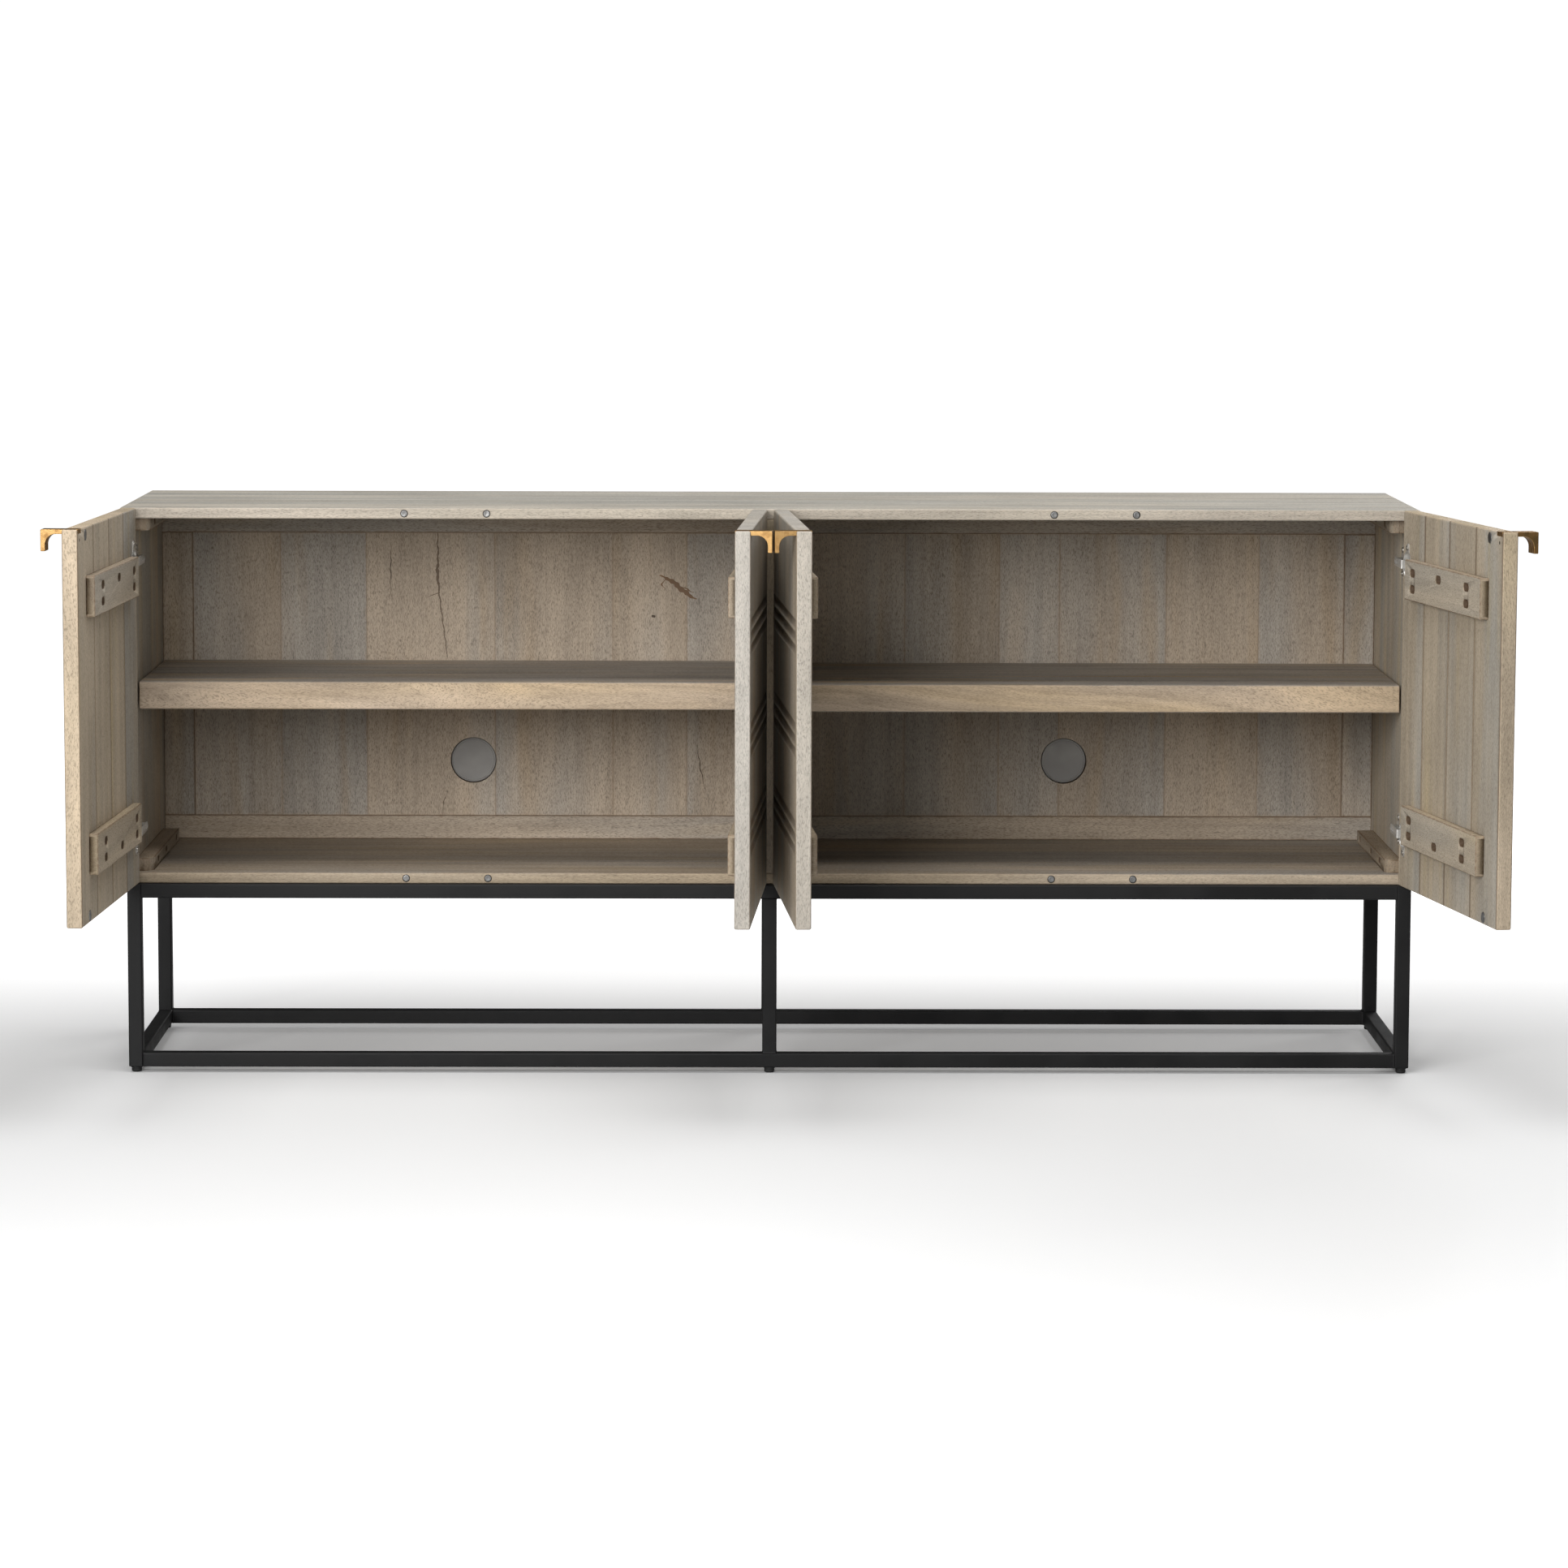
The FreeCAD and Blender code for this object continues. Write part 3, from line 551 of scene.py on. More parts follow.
batten_wood = washed_wood("washed_batten_wood", (0.40, 0.355, 0.29), (0.43, 0.36, 0.27), STRAW,
                          (0.40, 0.32, 0.235), seam=0.75, seam_width=0.0022, recess_shade=1.0)
# Painted shade: the cleats are darker all over, as they sit in the cabinet's inner corners.
shaded_cleat_wood = washed_wood("washed_cleat_wood_painted_shade", (0.30, 0.255, 0.20), (0.33, 0.265, 0.195),
                         (0.34, 0.265, 0.18), (0.31, 0.24, 0.17), seam=0.75, seam_width=0.0022, recess_shade=1.0)
# Painted shade: the bottom board's broad faces are darker, as they lie inside the bays; its cut edge stays
# light.
shaded_bottom_wood = washed_wood("washed_bottom_wood_painted_shade", (0.30, 0.265, 0.225), (0.34, 0.275, 0.205),
                          (0.36, 0.28, 0.18), (0.46, 0.375, 0.275), streaks=1.6, seam=0.3)
print("wood finishes made:", sum(m.name.startswith("washed_") for m in bpy.data.materials))

# %% [markdown]
# The metal parts and the plastic are never one even colour. Three shared effects do the work:
# patina is slow dark patches and small specks, brushing is very stretched noise, and orange peel
# is the fine dimpled skin of powder coat and moulded plastic. They read object coordinates, which
# are metres, so the same numbers suit every part.

# %% Effects for metal and plastic
patina, given, result = new_effect(
    "patina", [("Place", "Vector", None), ("Patches", "Float", 90.0), ("Specks", "Float", 900.0)],
    [("Patch", "Float"), ("Speck", "Float")])
p = patina
for name, detail, low, high, target in (("Patches", 4, 0.38, 0.66, "Patch"),
                                        ("Specks", 2, 0.60, 0.70, "Speck")):
    clouds = put(p, "TexNoise", {"Vector": given["Place"], "Scale": given[name], "Detail": float(detail)})
    p.links.new(between(p, clouds.outputs["Fac"], low, high), result[target])

brushing, given, result = new_effect(
    "brushing", [("Place", "Vector", None), ("Stretch", "Vector", (60.0, 2500.0, 2500.0))],
    [("Height", "Float")])
b = brushing
lines = put(b, "TexNoise", {"Vector": on_vectors(b, "MULTIPLY", given["Place"], given["Stretch"]),
                            "Scale": 1.0, "Detail": 3.0})
b.links.new(lines.outputs["Fac"], result["Height"])

orange_peel, given, result = new_effect(
    "orange peel", [("Place", "Vector", None), ("Grain size", "Float", 0.0012)],
    [("Height", "Float"), ("Shade", "Float")])
o = orange_peel
dimples = put(o, "TexNoise", {"Vector": given["Place"], "Detail": 2.0,
                              "Scale": maths(o, "DIVIDE", 1.0, given["Grain size"])})
slow = put(o, "TexNoise", {"Vector": given["Place"], "Scale": 14.0, "Detail": 3.0})
o.links.new(dimples.outputs["Fac"], result["Height"])
o.links.new(slow.outputs["Fac"], result["Shade"])
print("shared metal and plastic effects: patina, brushing, orange peel")

# %% [markdown]
# The base is black powder coat: nearly black, a little lighter where the coat is thin, with a
# soft sheen. The glides are plain moulded rubber, and the cable caps a pale grey one.


# %% Coated and moulded finishes
def coated(name, dark, pale, rough_low, rough_high, dimple, depth, specular):
    """A skin that drifts between two close colours, with fine dimples."""
    tree, shader, finish = new_finish(name, specular_ior_level=specular)
    place = put(tree, "TexCoord").outputs["Object"]
    skin = use(tree, orange_peel, {"Place": place, "Grain size": dimple})
    colour = mixed(tree, between(tree, skin["Shade"], 0.35, 0.65), (*dark, 1), (*pale, 1))
    rough = between(tree, skin["Shade"], 0.3, 0.7, rough_low, rough_high)
    surfaced(tree, shader, colour, rough, skin["Height"], 0.3, depth)
    return finish


black_coat = coated("black_powder_coat", (0.007, 0.007, 0.0073), (0.011, 0.0108, 0.011),
                    0.42, 0.56, 0.0011, 0.0002, 0.24)
black_rubber = coated("black_rubber", (0.018, 0.018, 0.018), (0.030, 0.030, 0.030),
                      0.65, 0.8, 0.0007, 0.0001, 0.3)
grey_cap = coated("grey_moulded_cap", (0.27, 0.262, 0.25), (0.36, 0.35, 0.335),
                  0.55, 0.7, 0.0016, 0.0003, 0.35)
# Near-black painted shade, laid in open gaps and holes.
gap_shade = coated("painted_gap_shade", (0.012, 0.010, 0.008), (0.03, 0.024, 0.018), 0.8, 0.9, 0.001, 0.0001, 0.1)
print("coated finishes made: powder coat, rubber, cap, gap")

# %% [markdown]
# Real metal reflects more than it shows, so most of the character here is in how rough each patch
# is. The brass is antiqued: orange-brown with darker patches and specks. Zinc and the plain catch
# steel are duller. Nickel would go dark with nothing bright to reflect, so it is only part metal.


# %% Metal finishes
def metal(name, clean, stained, rough_low, rough_high, stretch, specks, stain=0.8, metallic=1.0):
    """Brushed metal with patina: stained patches are darker and rougher."""
    tree, shader, finish = new_finish(name, metallic=metallic)
    place = put(tree, "TexCoord").outputs["Object"]
    old = use(tree, patina, {"Place": place, "Patches": 110.0, "Specks": 1100.0})
    lines = use(tree, brushing, {"Place": place, "Stretch": stretch})["Height"]
    share = times(tree, old["Patch"], stain)
    colour = mixed(tree, share, (*clean, 1), (*stained, 1))
    colour = mixed(tree, times(tree, old["Speck"], specks), colour, (0.05, 0.03, 0.015, 1))
    rough = between(tree, plus(tree, times(tree, lines, 0.16), share), 0.0, 1.0, rough_low, rough_high)
    surfaced(tree, shader, colour, rough, lines, 0.25, 0.0001)
    return finish


antique_brass = metal("antique_brass", (0.50, 0.31, 0.125), (0.30, 0.165, 0.06), 0.30, 0.52,
                      (2600.0, 70.0, 2600.0), 0.6)
nickel = metal("satin_nickel", (0.66, 0.645, 0.61), (0.48, 0.465, 0.44), 0.34, 0.50,
               (400.0, 400.0, 2500.0), 0.25, 0.4, metallic=0.6)
zinc = metal("zinc_screws", (0.46, 0.44, 0.40), (0.22, 0.20, 0.17), 0.30, 0.5,
             (900.0, 900.0, 900.0), 0.4)
catch_steel = metal("plain_catch_steel", (0.30, 0.30, 0.295), (0.17, 0.165, 0.16), 0.35, 0.55,
                    (1200.0, 1200.0, 1200.0), 0.5)
print("metal finishes made: brass, nickel, zinc, steel")

# %% [markdown]
# The cabinet's boards are solid wood about 15 mm thick with lightly rounded edges. They could
# keep the measured model's plain shapes, but a real edge is sanded by hand, so each board here
# is a rounded rectangle carried along its grain that draws in and out by a tenth of a
# millimetre, and its ends are quarter rounds. Wide boards are glued up from staves.


# %% Boards
def across_axes(grain_axis):
    """The two room axes square to the grain, kept in order so that the outline turns the right way."""
    return [k for k in range(3) if k != AXIS[grain_axis]]


def placed_along(grain_axis, start):
    """A function from (distance, first, second) to the room, with distance along the grain axis."""
    columns = [AXIS[grain_axis]] + across_axes(grain_axis)

    def place(points):
        room = np.empty_like(points)
        room[:, columns] = points
        room[:, AXIS[grain_axis]] += start
        return room
    return place


def board_skin(low, high, grain_axis, edge_radius, hand=0.00012):
    """A rounded rectangle carried from low to high along the grain, its edges sanded by hand."""
    low, high = np.array(low), np.array(high)
    one, two = across_axes(grain_axis)
    outline, outward = rounded_outline(rectangle(low, high, one, two), edge_radius)
    along = AXIS[grain_axis]
    length = high[along] - low[along]
    stations, draw = eased_ends(length, edge_radius * 0.7, 0.09)
    phase = chance.uniform(0, 6.28, 2)
    sanded = 0.5 + 0.25 * np.sin(stations * 21 + phase[0]) + 0.25 * np.sin(stations * 47 + phase[1])
    return carried(outline, outward, stations, draw + hand * sanded, placed_along(grain_axis, low[along]))


def board(node, name, finish, slot, grain_axis, across, through, radius=0.002, staves=(), tones=None):
    """One board in place of one measured part; staves are the glue lines, as shares of its width."""
    low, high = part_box(node)
    piece = make_piece(name, [board_skin(low, high, grain_axis, radius)])
    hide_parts(node)
    k = AXIS[across]
    cuts = [low[k] + (high[k] - low[k]) * share for share in staves]
    lay_grain(piece, straight(grain_axis, across, through), cuts, tones)
    piece.data.materials.append(finish)


board("top_board", "top_board_wood", top_wood, "body_wood", "x", "y", "z",
      staves=(0.22, 0.48, 0.71), tones=(0.2, -0.3, 0.3, -0.1))
board("bottom_board", "bottom_board_wood", shaded_bottom_wood, "body_wood", "x", "y", "z",
      staves=(0.3, 0.62), tones=(0.1, -0.5, 0.2))
board("side_panel_left", "left_end_wood", body_wood, "body_wood", "z", "y", "x",
      staves=(0.27, 0.55, 0.8), tones=(0.2, -0.4, 0.5, -0.1))
board("side_panel_right", "right_end_wood", body_wood, "body_wood", "z", "y", "x",
      staves=(0.24, 0.5, 0.77), tones=(0.4, -0.3, 0.6, 0.1))
board("divider", "divider_wood", body_wood, "body_wood", "z", "y", "x", staves=(0.4, 0.7))
print("cabinet boards made")

# %% [markdown]
# The back is a frame of rails and stiles round two panels of upright planks. Its joints show as
# thin rusty lines. The frame's members are boards of their own with crisper edges.

# %% Back frame
for place, tone in (("top_rail", -0.3), ("bottom_rail", 0.5)):
    board("back_" + place, "back_frame_" + place, back_frame_wood, "back_wood", "x", "z", "y",
          radius=0.0008, tones=(tone,))
for place, tone in (("left", -0.5), ("centre", 0.1), ("right", -0.2)):
    board("back_stile_" + place, "back_frame_stile_" + place, back_frame_wood, "back_wood", "z", "x", "y",
          radius=0.0008, tones=(tone,))
print("back frame made")

# %% [markdown]
# Each back panel keeps its measured shape, with the round cable hole, and is sawn into planks
# whose widths and tones are uneven: the wood was picked for price, not for match.

# %% Back planks
PLANKS = {"left": ((-0.712, -0.587, -0.40, -0.228, -0.12), (-0.3, -0.4, 0.8, 0.4, 0.6, 0.1)),
          "right": ((0.198, 0.336, 0.424, 0.58, 0.715), (0.0, -0.4, 0.6, 0.1, 0.5, 0.2))}
for side, (glue_lines, tones) in PLANKS.items():
    piece = taken_over("back_panel_" + side, "back_planks_" + side, "cabinet")
    count = lay_grain(piece, straight("z", "x", "y"), glue_lines, tones)
    piece.data.materials.append(back_wood)
    print("back planks", side, count)

# %% [markdown]
# A shelf is a 19 mm board with a deeper strip behind its front edge, so that it looks thick. That
# outline is an L on its side, carried along the length, its inside corner slightly hollow.


# %% Shelves
STRIP_DEEP, SHELF_THICK = 0.020, 0.019


def shelf(side, top_tones):
    low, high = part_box("shelf_" + side)
    step_y, step_z = low[1] + STRIP_DEEP, high[2] - SHELF_THICK
    corners = [(low[1], low[2]), (step_y, low[2]), (step_y, step_z),
               (high[1], step_z), (high[1], high[2]), (low[1], high[2])]
    outline, outward = rounded_outline(corners, (0.0022, 0.001, 0.001, 0.001, 0.001, 0.0022))
    stations, draw = eased_ends(high[0] - low[0], 0.0009, 0.06)
    skin = carried(outline, outward, stations, draw, placed_along("x", low[0]))
    piece = make_piece("shelf_wood_" + side, [skin])
    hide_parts("shelf_" + side)
    lay_grain(piece, straight("x", "y", "z"), (low[1] + 0.12, low[1] + 0.22), top_tones)
    piece.data.materials.append(shelf_wood)


shelf("left", (0.2, -0.4, 0.3))
shelf("right", (0.0, 0.3, -0.3))
print("shelves made")

# %% [markdown]
# The base is square steel tube with rounded corners, welded where the bars meet and then ground
# nearly flush. A bar is a rounded square carried along its length. The weld is left in by letting
# the bar's outline swell a little over its last two millimetres, unevenly, as a bead does.


# %% Iron base
TUBE_CORNER, BEAD = 0.0022, 0.0008


def bar_skin(node, weld_ends=True):
    """A tube from its measured box; its longest side is the way it runs."""
    low, high = (np.array(v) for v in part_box(node))
    axis = "xyz"[int(np.argmax(high - low))]
    one, two = across_axes(axis)
    outline, outward = rounded_outline(rectangle(low, high, one, two), TUBE_CORNER)
    length, place = (high - low)[AXIS[axis]], placed_along(axis, low[AXIS[axis]])
    if not weld_ends:
        stations, draw = eased_ends(length, 0.0012, 0.05)
        return carried(outline, outward, stations, draw, place)
    near = np.array([0.0, 0.0005, 0.0011, 0.0019, 0.0028])
    middle = np.linspace(0.02, length - 0.02, max(2, int(length / 0.08)))
    stations = np.concatenate([near, middle, length - near[::-1]])
    swell = BEAD * (1 - near / near[-1]) ** 2
    draw = -np.concatenate([swell, np.zeros(len(middle)), swell[::-1]])
    uneven = 0.6 + 0.4 * np.sin(np.arange(len(outline)) * 2.1 + chance.uniform(0, 6))
    return carried(outline, outward, stations, draw[:, None] * uneven[None], place)


corner_legs = ["leg_%s_%s" % (row, side) for row in ("front", "back") for side in ("left", "right")]
bars = [n for n in nodes if n.startswith("rail_") or n.startswith("leg_") and n not in corner_legs]
base = make_piece("iron_base", [bar_skin(n, False) for n in corner_legs] + [bar_skin(n) for n in bars])
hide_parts(*corner_legs, *bars)
base.data.materials.append(black_coat)
print("iron base:", len(corner_legs) + len(bars), "bars,", len(base.data.polygons), "faces")

# %% [markdown]
# Round things, such as glides, catches and caps, are turned on a lathe or moulded to look so. A
# half outline spun round an axis gives them all, with one point closing each pole.


# %% Turned pieces
def turned(half_outline, base_point, axis, sides=40):
    """Spin (radius, height) points about an axis; the first and last points are the poles.

    Point (i, j) is the base plus height i along the axis plus radius i times
    (cos of angle j along one side direction + sin of angle j along the other).
    """
    half_outline = np.asarray(half_outline, float)
    axis, side, other = square_to(axis)
    angle = np.linspace(0, 2 * math.pi, sides, endpoint=False)
    rings = half_outline[1:-1]
    spokes = np.cos(angle)[:, None] * side + np.sin(angle)[:, None] * other
    points = (np.asarray(base_point) + rings[:, 1, None, None] * axis
              + rings[:, 0, None, None] * spokes[None]).reshape(-1, 3)
    poles = np.asarray(base_point) + half_outline[[0, -1], 1][:, None] * axis
    count, last = len(points), (len(rings) - 1) * sides
    fans = [[count, (j + 1) % sides, j] for j in range(sides)]
    fans += [[count + 1, last + j, last + (j + 1) % sides] for j in range(sides)]
    return np.concatenate([points, poles]), grid_quads(len(rings), sides).tolist() + fans


def turned_group(name, node, finish, skins, body="cabinet"):
    piece = make_piece(name, skins, body)
    if node:
        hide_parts(node)
    piece.data.materials.append(finish)


MM = 0.001
GLIDE = np.array([(0, 0.2), (5.2, 0.2), (6.2, 0.5), (6.9, 1.3), (7.1, 2.4), (7.2, 4.6), (6.6, 5.0),
                  (6.6, 5.5), (7.6, 5.9), (7.9, 6.6), (7.9, 7.9), (0, 7.9)]) * MM
leg_places = [(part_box("leg_front_" + side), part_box("leg_%s_left" % row))
              for side in ("left", "middle", "right") for row in ("front", "back")]
feet = [turned(GLIDE, ((x[0][0] + x[1][0]) / 2, (y[0][1] + y[1][1]) / 2, 0), (0, 0, 1))
        for x, y in leg_places]
turned_group("glides_turned", "glides", black_rubber, feet)
print("glides made:", len(feet))

# %% [markdown]
# Round magnets are pressed into the front edges of the top and bottom boards, each in a hole a
# shade too large, so a dark ring of shade shows round it. That ring is painted shade: a shallow
# dark saucer of its own.

# %% Catch magnets
front_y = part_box("top_board")[0][1]
MAGNET = np.array([(0, -3), (4.5, -3), (4.5, 0.15), (4.3, 0.4), (3.9, 0.5), (2.2, 0.46), (2.0, 0.38),
                   (0, 0.36)]) * MM
SHADE_SAUCER = np.array([(0, -2), (5.2, -2), (5.35, 0.06), (5.15, 0.16), (0, 0.16)]) * MM
BAY_MIDDLE, MAGNET_ASIDE, MAGNET_Z = 0.450, 0.057, (0.7825, 0.2735)
magnet_places = [(bay + side, z) for bay in (-BAY_MIDDLE, BAY_MIDDLE)
                 for side in (-MAGNET_ASIDE, MAGNET_ASIDE) for z in MAGNET_Z]
turned_group("catch_magnets_turned", "catch_magnets", catch_steel,
             [turned(MAGNET, (x, front_y, z), (0, -1, 0), 28) for x, z in magnet_places])
turned_group("magnet_hole_painted_shade", None, gap_shade,
             [turned(SHADE_SAUCER, (x, front_y, z), (0, -1, 0), 28) for x, z in magnet_places])
print("magnets made:", len(magnet_places))

# %% [markdown]
# A blank cap closes each cable hole: a moulded disc set back from the planks, slightly dished,
# with a rounded rim and a fine step inside it, and a flange behind that keeps it from pulling
# through. The thin gap between cap and wood stays open.

# %% Cable caps
CAP_X, CAP_Z = 0.432, 0.397
cap_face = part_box("cable_plugs")[0][1]
CAP = np.array([(0, -0.5), (12, -0.48), (24, -0.3), (29.2, -0.1), (29.6, -0.55), (30.4, -0.55),
                (30.8, -0.1), (31.4, -0.1), (32.2, -0.5), (32.5, -1.3), (32.5, -7), (37.4, -7.1),
                (38, -7.6), (38, -8.6), (37.5, -9), (0, -9)]) * MM
turned_group("cable_caps_moulded", "cable_plugs", grey_cap,
             [turned(CAP, (x, cap_face, CAP_Z), (0, -1, 0), 72) for x in (-CAP_X, CAP_X)])
print("cable caps made, face at y =", round(cap_face, 4))

# %% [markdown]
# Every door is thought of lying shut, with its own measures: s from the hinge edge, t outwards
# from the inner face (so the front is at minus 21 mm) and z up. The hinge then carries it to
# where it stands open. Its joint's range says how far that is, so nothing is measured twice.


# %% Door measures
DOOR_T, SIDE_GAP, FRONT_GAP = 0.021, 0.0015, 0.003
joints = {joint["child"]: joint for joint in frame["joints"]}
DOORS = {}
for door, hand, edge_from in (("door_1", 1, -0.9), ("door_2", -1, 0.0), ("door_3", 1, 0.0),
                              ("door_4", -1, 0.9)):
    turn = joints[door]["range_deg"][1 if hand > 0 else 0]
    DOORS[door] = {"hand": hand, "edge_from": edge_from, "pin": np.array(joints[door]["pos_m"]),
                   "open": math.radians(-turn)}


def swung(points, door, angle):
    """Points turned about the door's upright pin."""
    pin = DOORS[door]["pin"]
    turn = np.array(Matrix.Rotation(angle, 3, "Z"))
    pivot = np.array([pin[0], pin[1], 0.0])
    return (np.asarray(points, float) - pivot) @ turn.T + pivot


def off_door(points, door):
    """From the door's own (s, t, z) to the room, with the door standing open."""
    s, t, z = np.asarray(points, float).T
    at = DOORS[door]
    shut = np.stack([at["edge_from"] + at["hand"] * (SIDE_GAP + s), front_y - FRONT_GAP + t, z], 1)
    return swung(shut, door, at["open"])


def outwards(door):
    """The room direction in which the door's own t grows: away from its inner face."""
    here, further = off_door([(0.0, 0.0, 0.5), (0.0, 0.01, 0.5)], door)
    return further - here


def on_door(door):
    """A function from the room to the door's own along (z), across (s) and through (t)."""
    at = DOORS[door]

    def measure(points):
        shut = swung(points, door, -at["open"])
        return np.stack([shut[:, 2], at["hand"] * (shut[:, 0] - at["edge_from"]) - SIDE_GAP,
                         shut[:, 1] - front_y + FRONT_GAP], 1)
    return measure


for door in DOORS:
    print(door, "stands open", round(abs(math.degrees(DOORS[door]["open"])), 1), "degrees")

# %% [markdown]
# A door is four upright planks with fine grooves between them and three bands of three shallow
# flutes across the front. The measured model already has those cuts, so its shape is taken over,
# sewn together and sawn along the grooves, and each plank gets its own grain and tone. Two
# battens hold the planks flat. They are screwed through slots, so that the planks can shrink.

# %% Door panels and battens
PLANK_CUTS = (0.103, 0.215, 0.332)
# Each door's first tone is its hinge-side plank; on door_1 that one is set dark as painted shade.
PLANK_TONES_AND_SHADE = {"door_1": (-0.9, 0.9, 1.1, 1.2), "door_2": (0.2, -0.1, 0.3, 0.0),
               "door_3": (-0.1, 0.2, 0.0, 0.3), "door_4": (0.1, 0.5, -0.1, 0.2)}
for door, tones in PLANK_TONES_AND_SHADE.items():
    panel = taken_over(door + "_panel", door + "_planks", door)
    lay_grain(panel, on_door(door), PLANK_CUTS, tones)
    panel.data.materials.append(middle_door_wood if door in ("door_2", "door_3") else door_wood)
    battens = taken_over(door + "_battens", door + "_battens_wood", door)
    across_first = on_door(door)
    lay_grain(battens, lambda points: across_first(points)[:, [1, 0, 2]])
    battens.data.materials.append(batten_wood)
print("doors made:", len(PLANK_TONES_AND_SHADE))

# %% [markdown]
# The cleats are the strips that screw the cabinet's boards together inside: rounded at the front
# end, with slotted recesses. Their grain runs from front to back.

# %% Cleats
cleats = taken_over("cleats", "cleats_wood", "cabinet")
print("cleats:", lay_grain(cleats, straight("y", "z", "x")), "strips")
cleats.data.materials.append(shaded_cleat_wood)

# %% [markdown]
# A pull is an angle of cast brass let into the top of the door at its free corner: flat on top,
# with a short drop in front and a generous round inside the bend. The angle is an outline, so it
# is carried along the pull's 25 mm, with every corner softened as casting leaves it.

# %% Pulls
PULL = {"start": 0.4203, "long": 0.0244, "out": 0.028, "thick": 0.006, "drop": 0.0285, "bend": 0.014}
top_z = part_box("top_board")[1][2]
front_t = -DOOR_T - PULL["out"]
inner_t = front_t + PULL["thick"]
under_z, low_z = top_z - PULL["thick"], top_z - PULL["drop"]
corners = [(0.0, top_z), (front_t, top_z), (front_t, low_z), (inner_t, low_z), (inner_t, under_z),
           (0.0, under_z)]
outline, outward = rounded_outline(corners, (0.0005, 0.0011, 0.0009, 0.0009, PULL["bend"], 0.0004), 9)
stations, draw = eased_ends(PULL["long"], 0.0006, 0.004)
for door in DOORS:
    skin = carried(outline, outward, stations + PULL["start"], draw, lambda points: off_door(points, door))
    pull = make_piece(door + "_brass_pull", [skin], door)
    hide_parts(door + "_pull")
    pull.data.materials.append(antique_brass)
print("pulls made:", len(DOORS))

# %% [markdown]
# Each pull is fixed by a screw from inside the door, and its small round hole stays open. Seen
# from a step away it is a dark dot of shade, so a shallow saucer of painted shade stands for it.

# %% Fixing holes of the pulls
HOLE = np.array([(0, -1.5), (2.0, -1.5), (2.25, 0.03), (2.0, 0.12), (0, 0.10)]) * MM
HOLE_AT = (0.4325, 0, 0.7755)
for door in DOORS:
    turned_group(door + "_pull_hole_painted_shade", None, gap_shade,
                 [turned(HOLE, off_door([HOLE_AT], door)[0], outwards(door), 20)], door)
print("fixing holes made:", len(DOORS))

# %% [markdown]
# A small steel disc near each free corner meets its magnet when the door shuts. It is turned with
# a soft rim and faint rings.

# %% Catch discs
DISC = np.array([(0, -0.9), (7.4, -0.9), (7.4, 0.55), (7.1, 0.9), (6.6, 1.0), (5.0, 0.96), (4.8, 0.86),
                 (2.4, 0.84), (2.2, 0.92), (0, 0.94)]) * MM
DISC_S, DISC_Z = 0.3915, (0.7795, 0.2765)
for door in DOORS:
    centres = off_door([(DISC_S, 0, z) for z in DISC_Z], door)
    turned_group(door + "_catch_discs_turned", door + "_catch_discs", catch_steel,
                 [turned(DISC, centre, outwards(door), 28) for centre in centres], door)
print("catch discs made:", 2 * len(DOORS))

# %% [markdown]
# Screw heads are low domes with a cross recess. Each is a small disc of rings and spokes whose
# height is a dome minus a cross, so one sheet of numbers gives every head, turned to face the
# way its screw goes in. The shanks are out of sight in the wood.


# %% Screw heads
HEAD_R, HEAD_H, CROSS_DEEP = 0.0038, 0.0022, 0.0011
HINGE_Z = (0.716, 0.340)


def screw_head(seat, facing, twist, sides=24):
    """A dome h = H * sqrt(1 - (r/R)^2) on a short wall, less a tapering cross near the middle."""
    facing, side, other = square_to(facing)
    reach = np.array([0.0012, 0.13, 0.24, 0.36, 0.48, 0.56, 0.7, 0.86, 0.96, 1.0, 1.0]) * HEAD_R
    angle = np.linspace(0, 2 * math.pi, sides, endpoint=False)
    x, y = reach[:, None] * np.cos(angle), reach[:, None] * np.sin(angle)
    dome = HEAD_H * (0.3 + 0.7 * np.sqrt(np.clip(1 - (reach / HEAD_R) ** 2, 0, 1)))[:, None]
    narrow, wide = np.minimum(abs(x), abs(y)), np.maximum(abs(x), abs(y))
    cross = np.clip((0.00045 - narrow) / 0.00012, 0, 1) * np.clip((0.0021 - wide) / 0.0004, 0, 1)
    height = dome - CROSS_DEEP * cross
    height[-1] = 0.0
    across = x * np.cos(twist) - y * np.sin(twist)
    upward = x * np.sin(twist) + y * np.cos(twist)
    rings = (np.asarray(seat) + height[..., None] * facing + across[..., None] * side
             + upward[..., None] * other).reshape(-1, 3)
    middle = np.asarray(seat) + (dome[0, 0] - CROSS_DEEP) * facing
    count, last = len(rings), (len(reach) - 1) * sides
    fans = [[count, (j + 1) % sides, j] for j in range(sides)]
    under = [list(range(last, last + sides))]
    return np.vstack([rings, middle]), grid_quads(len(reach), sides).tolist() + fans + under


def head_group(name, node, seats, facings, body):
    heads = [screw_head(seat, facing, chance.uniform(0, 1.5)) for seat, facing in zip(seats, facings)]
    piece = make_piece(name, heads, body)
    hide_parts(node)
    piece.data.materials.append(zinc)
    return len(heads)


def batten_seats():
    """Slot middles: two columns of two near the ends and one outer slot between, as (s, t, z)."""
    seats = []
    for middle, outer in ((0.6985, 1), (0.3575, -1)):
        for s, rows in ((0.084, (-1, 1)), (0.203, (outer,)), (0.328, (-1, 1))):
            seats += [(s, 0.005, middle + row * 0.011) for row in rows]
    return seats


ear_seats = [(0.024, 0.001, z + way * 0.024) for z in HINGE_Z for way in (-1, 1)]
for door in DOORS:
    seats = off_door(batten_seats() + ear_seats, door)
    made = head_group(door + "_screw_heads", door + "_screws", seats, [outwards(door)] * len(seats), door)
print("screw heads on each door:", made)

# %% [markdown]
# Inside the cabinet, screws stand in the cleats' recesses and hold the hinge plates to the walls.

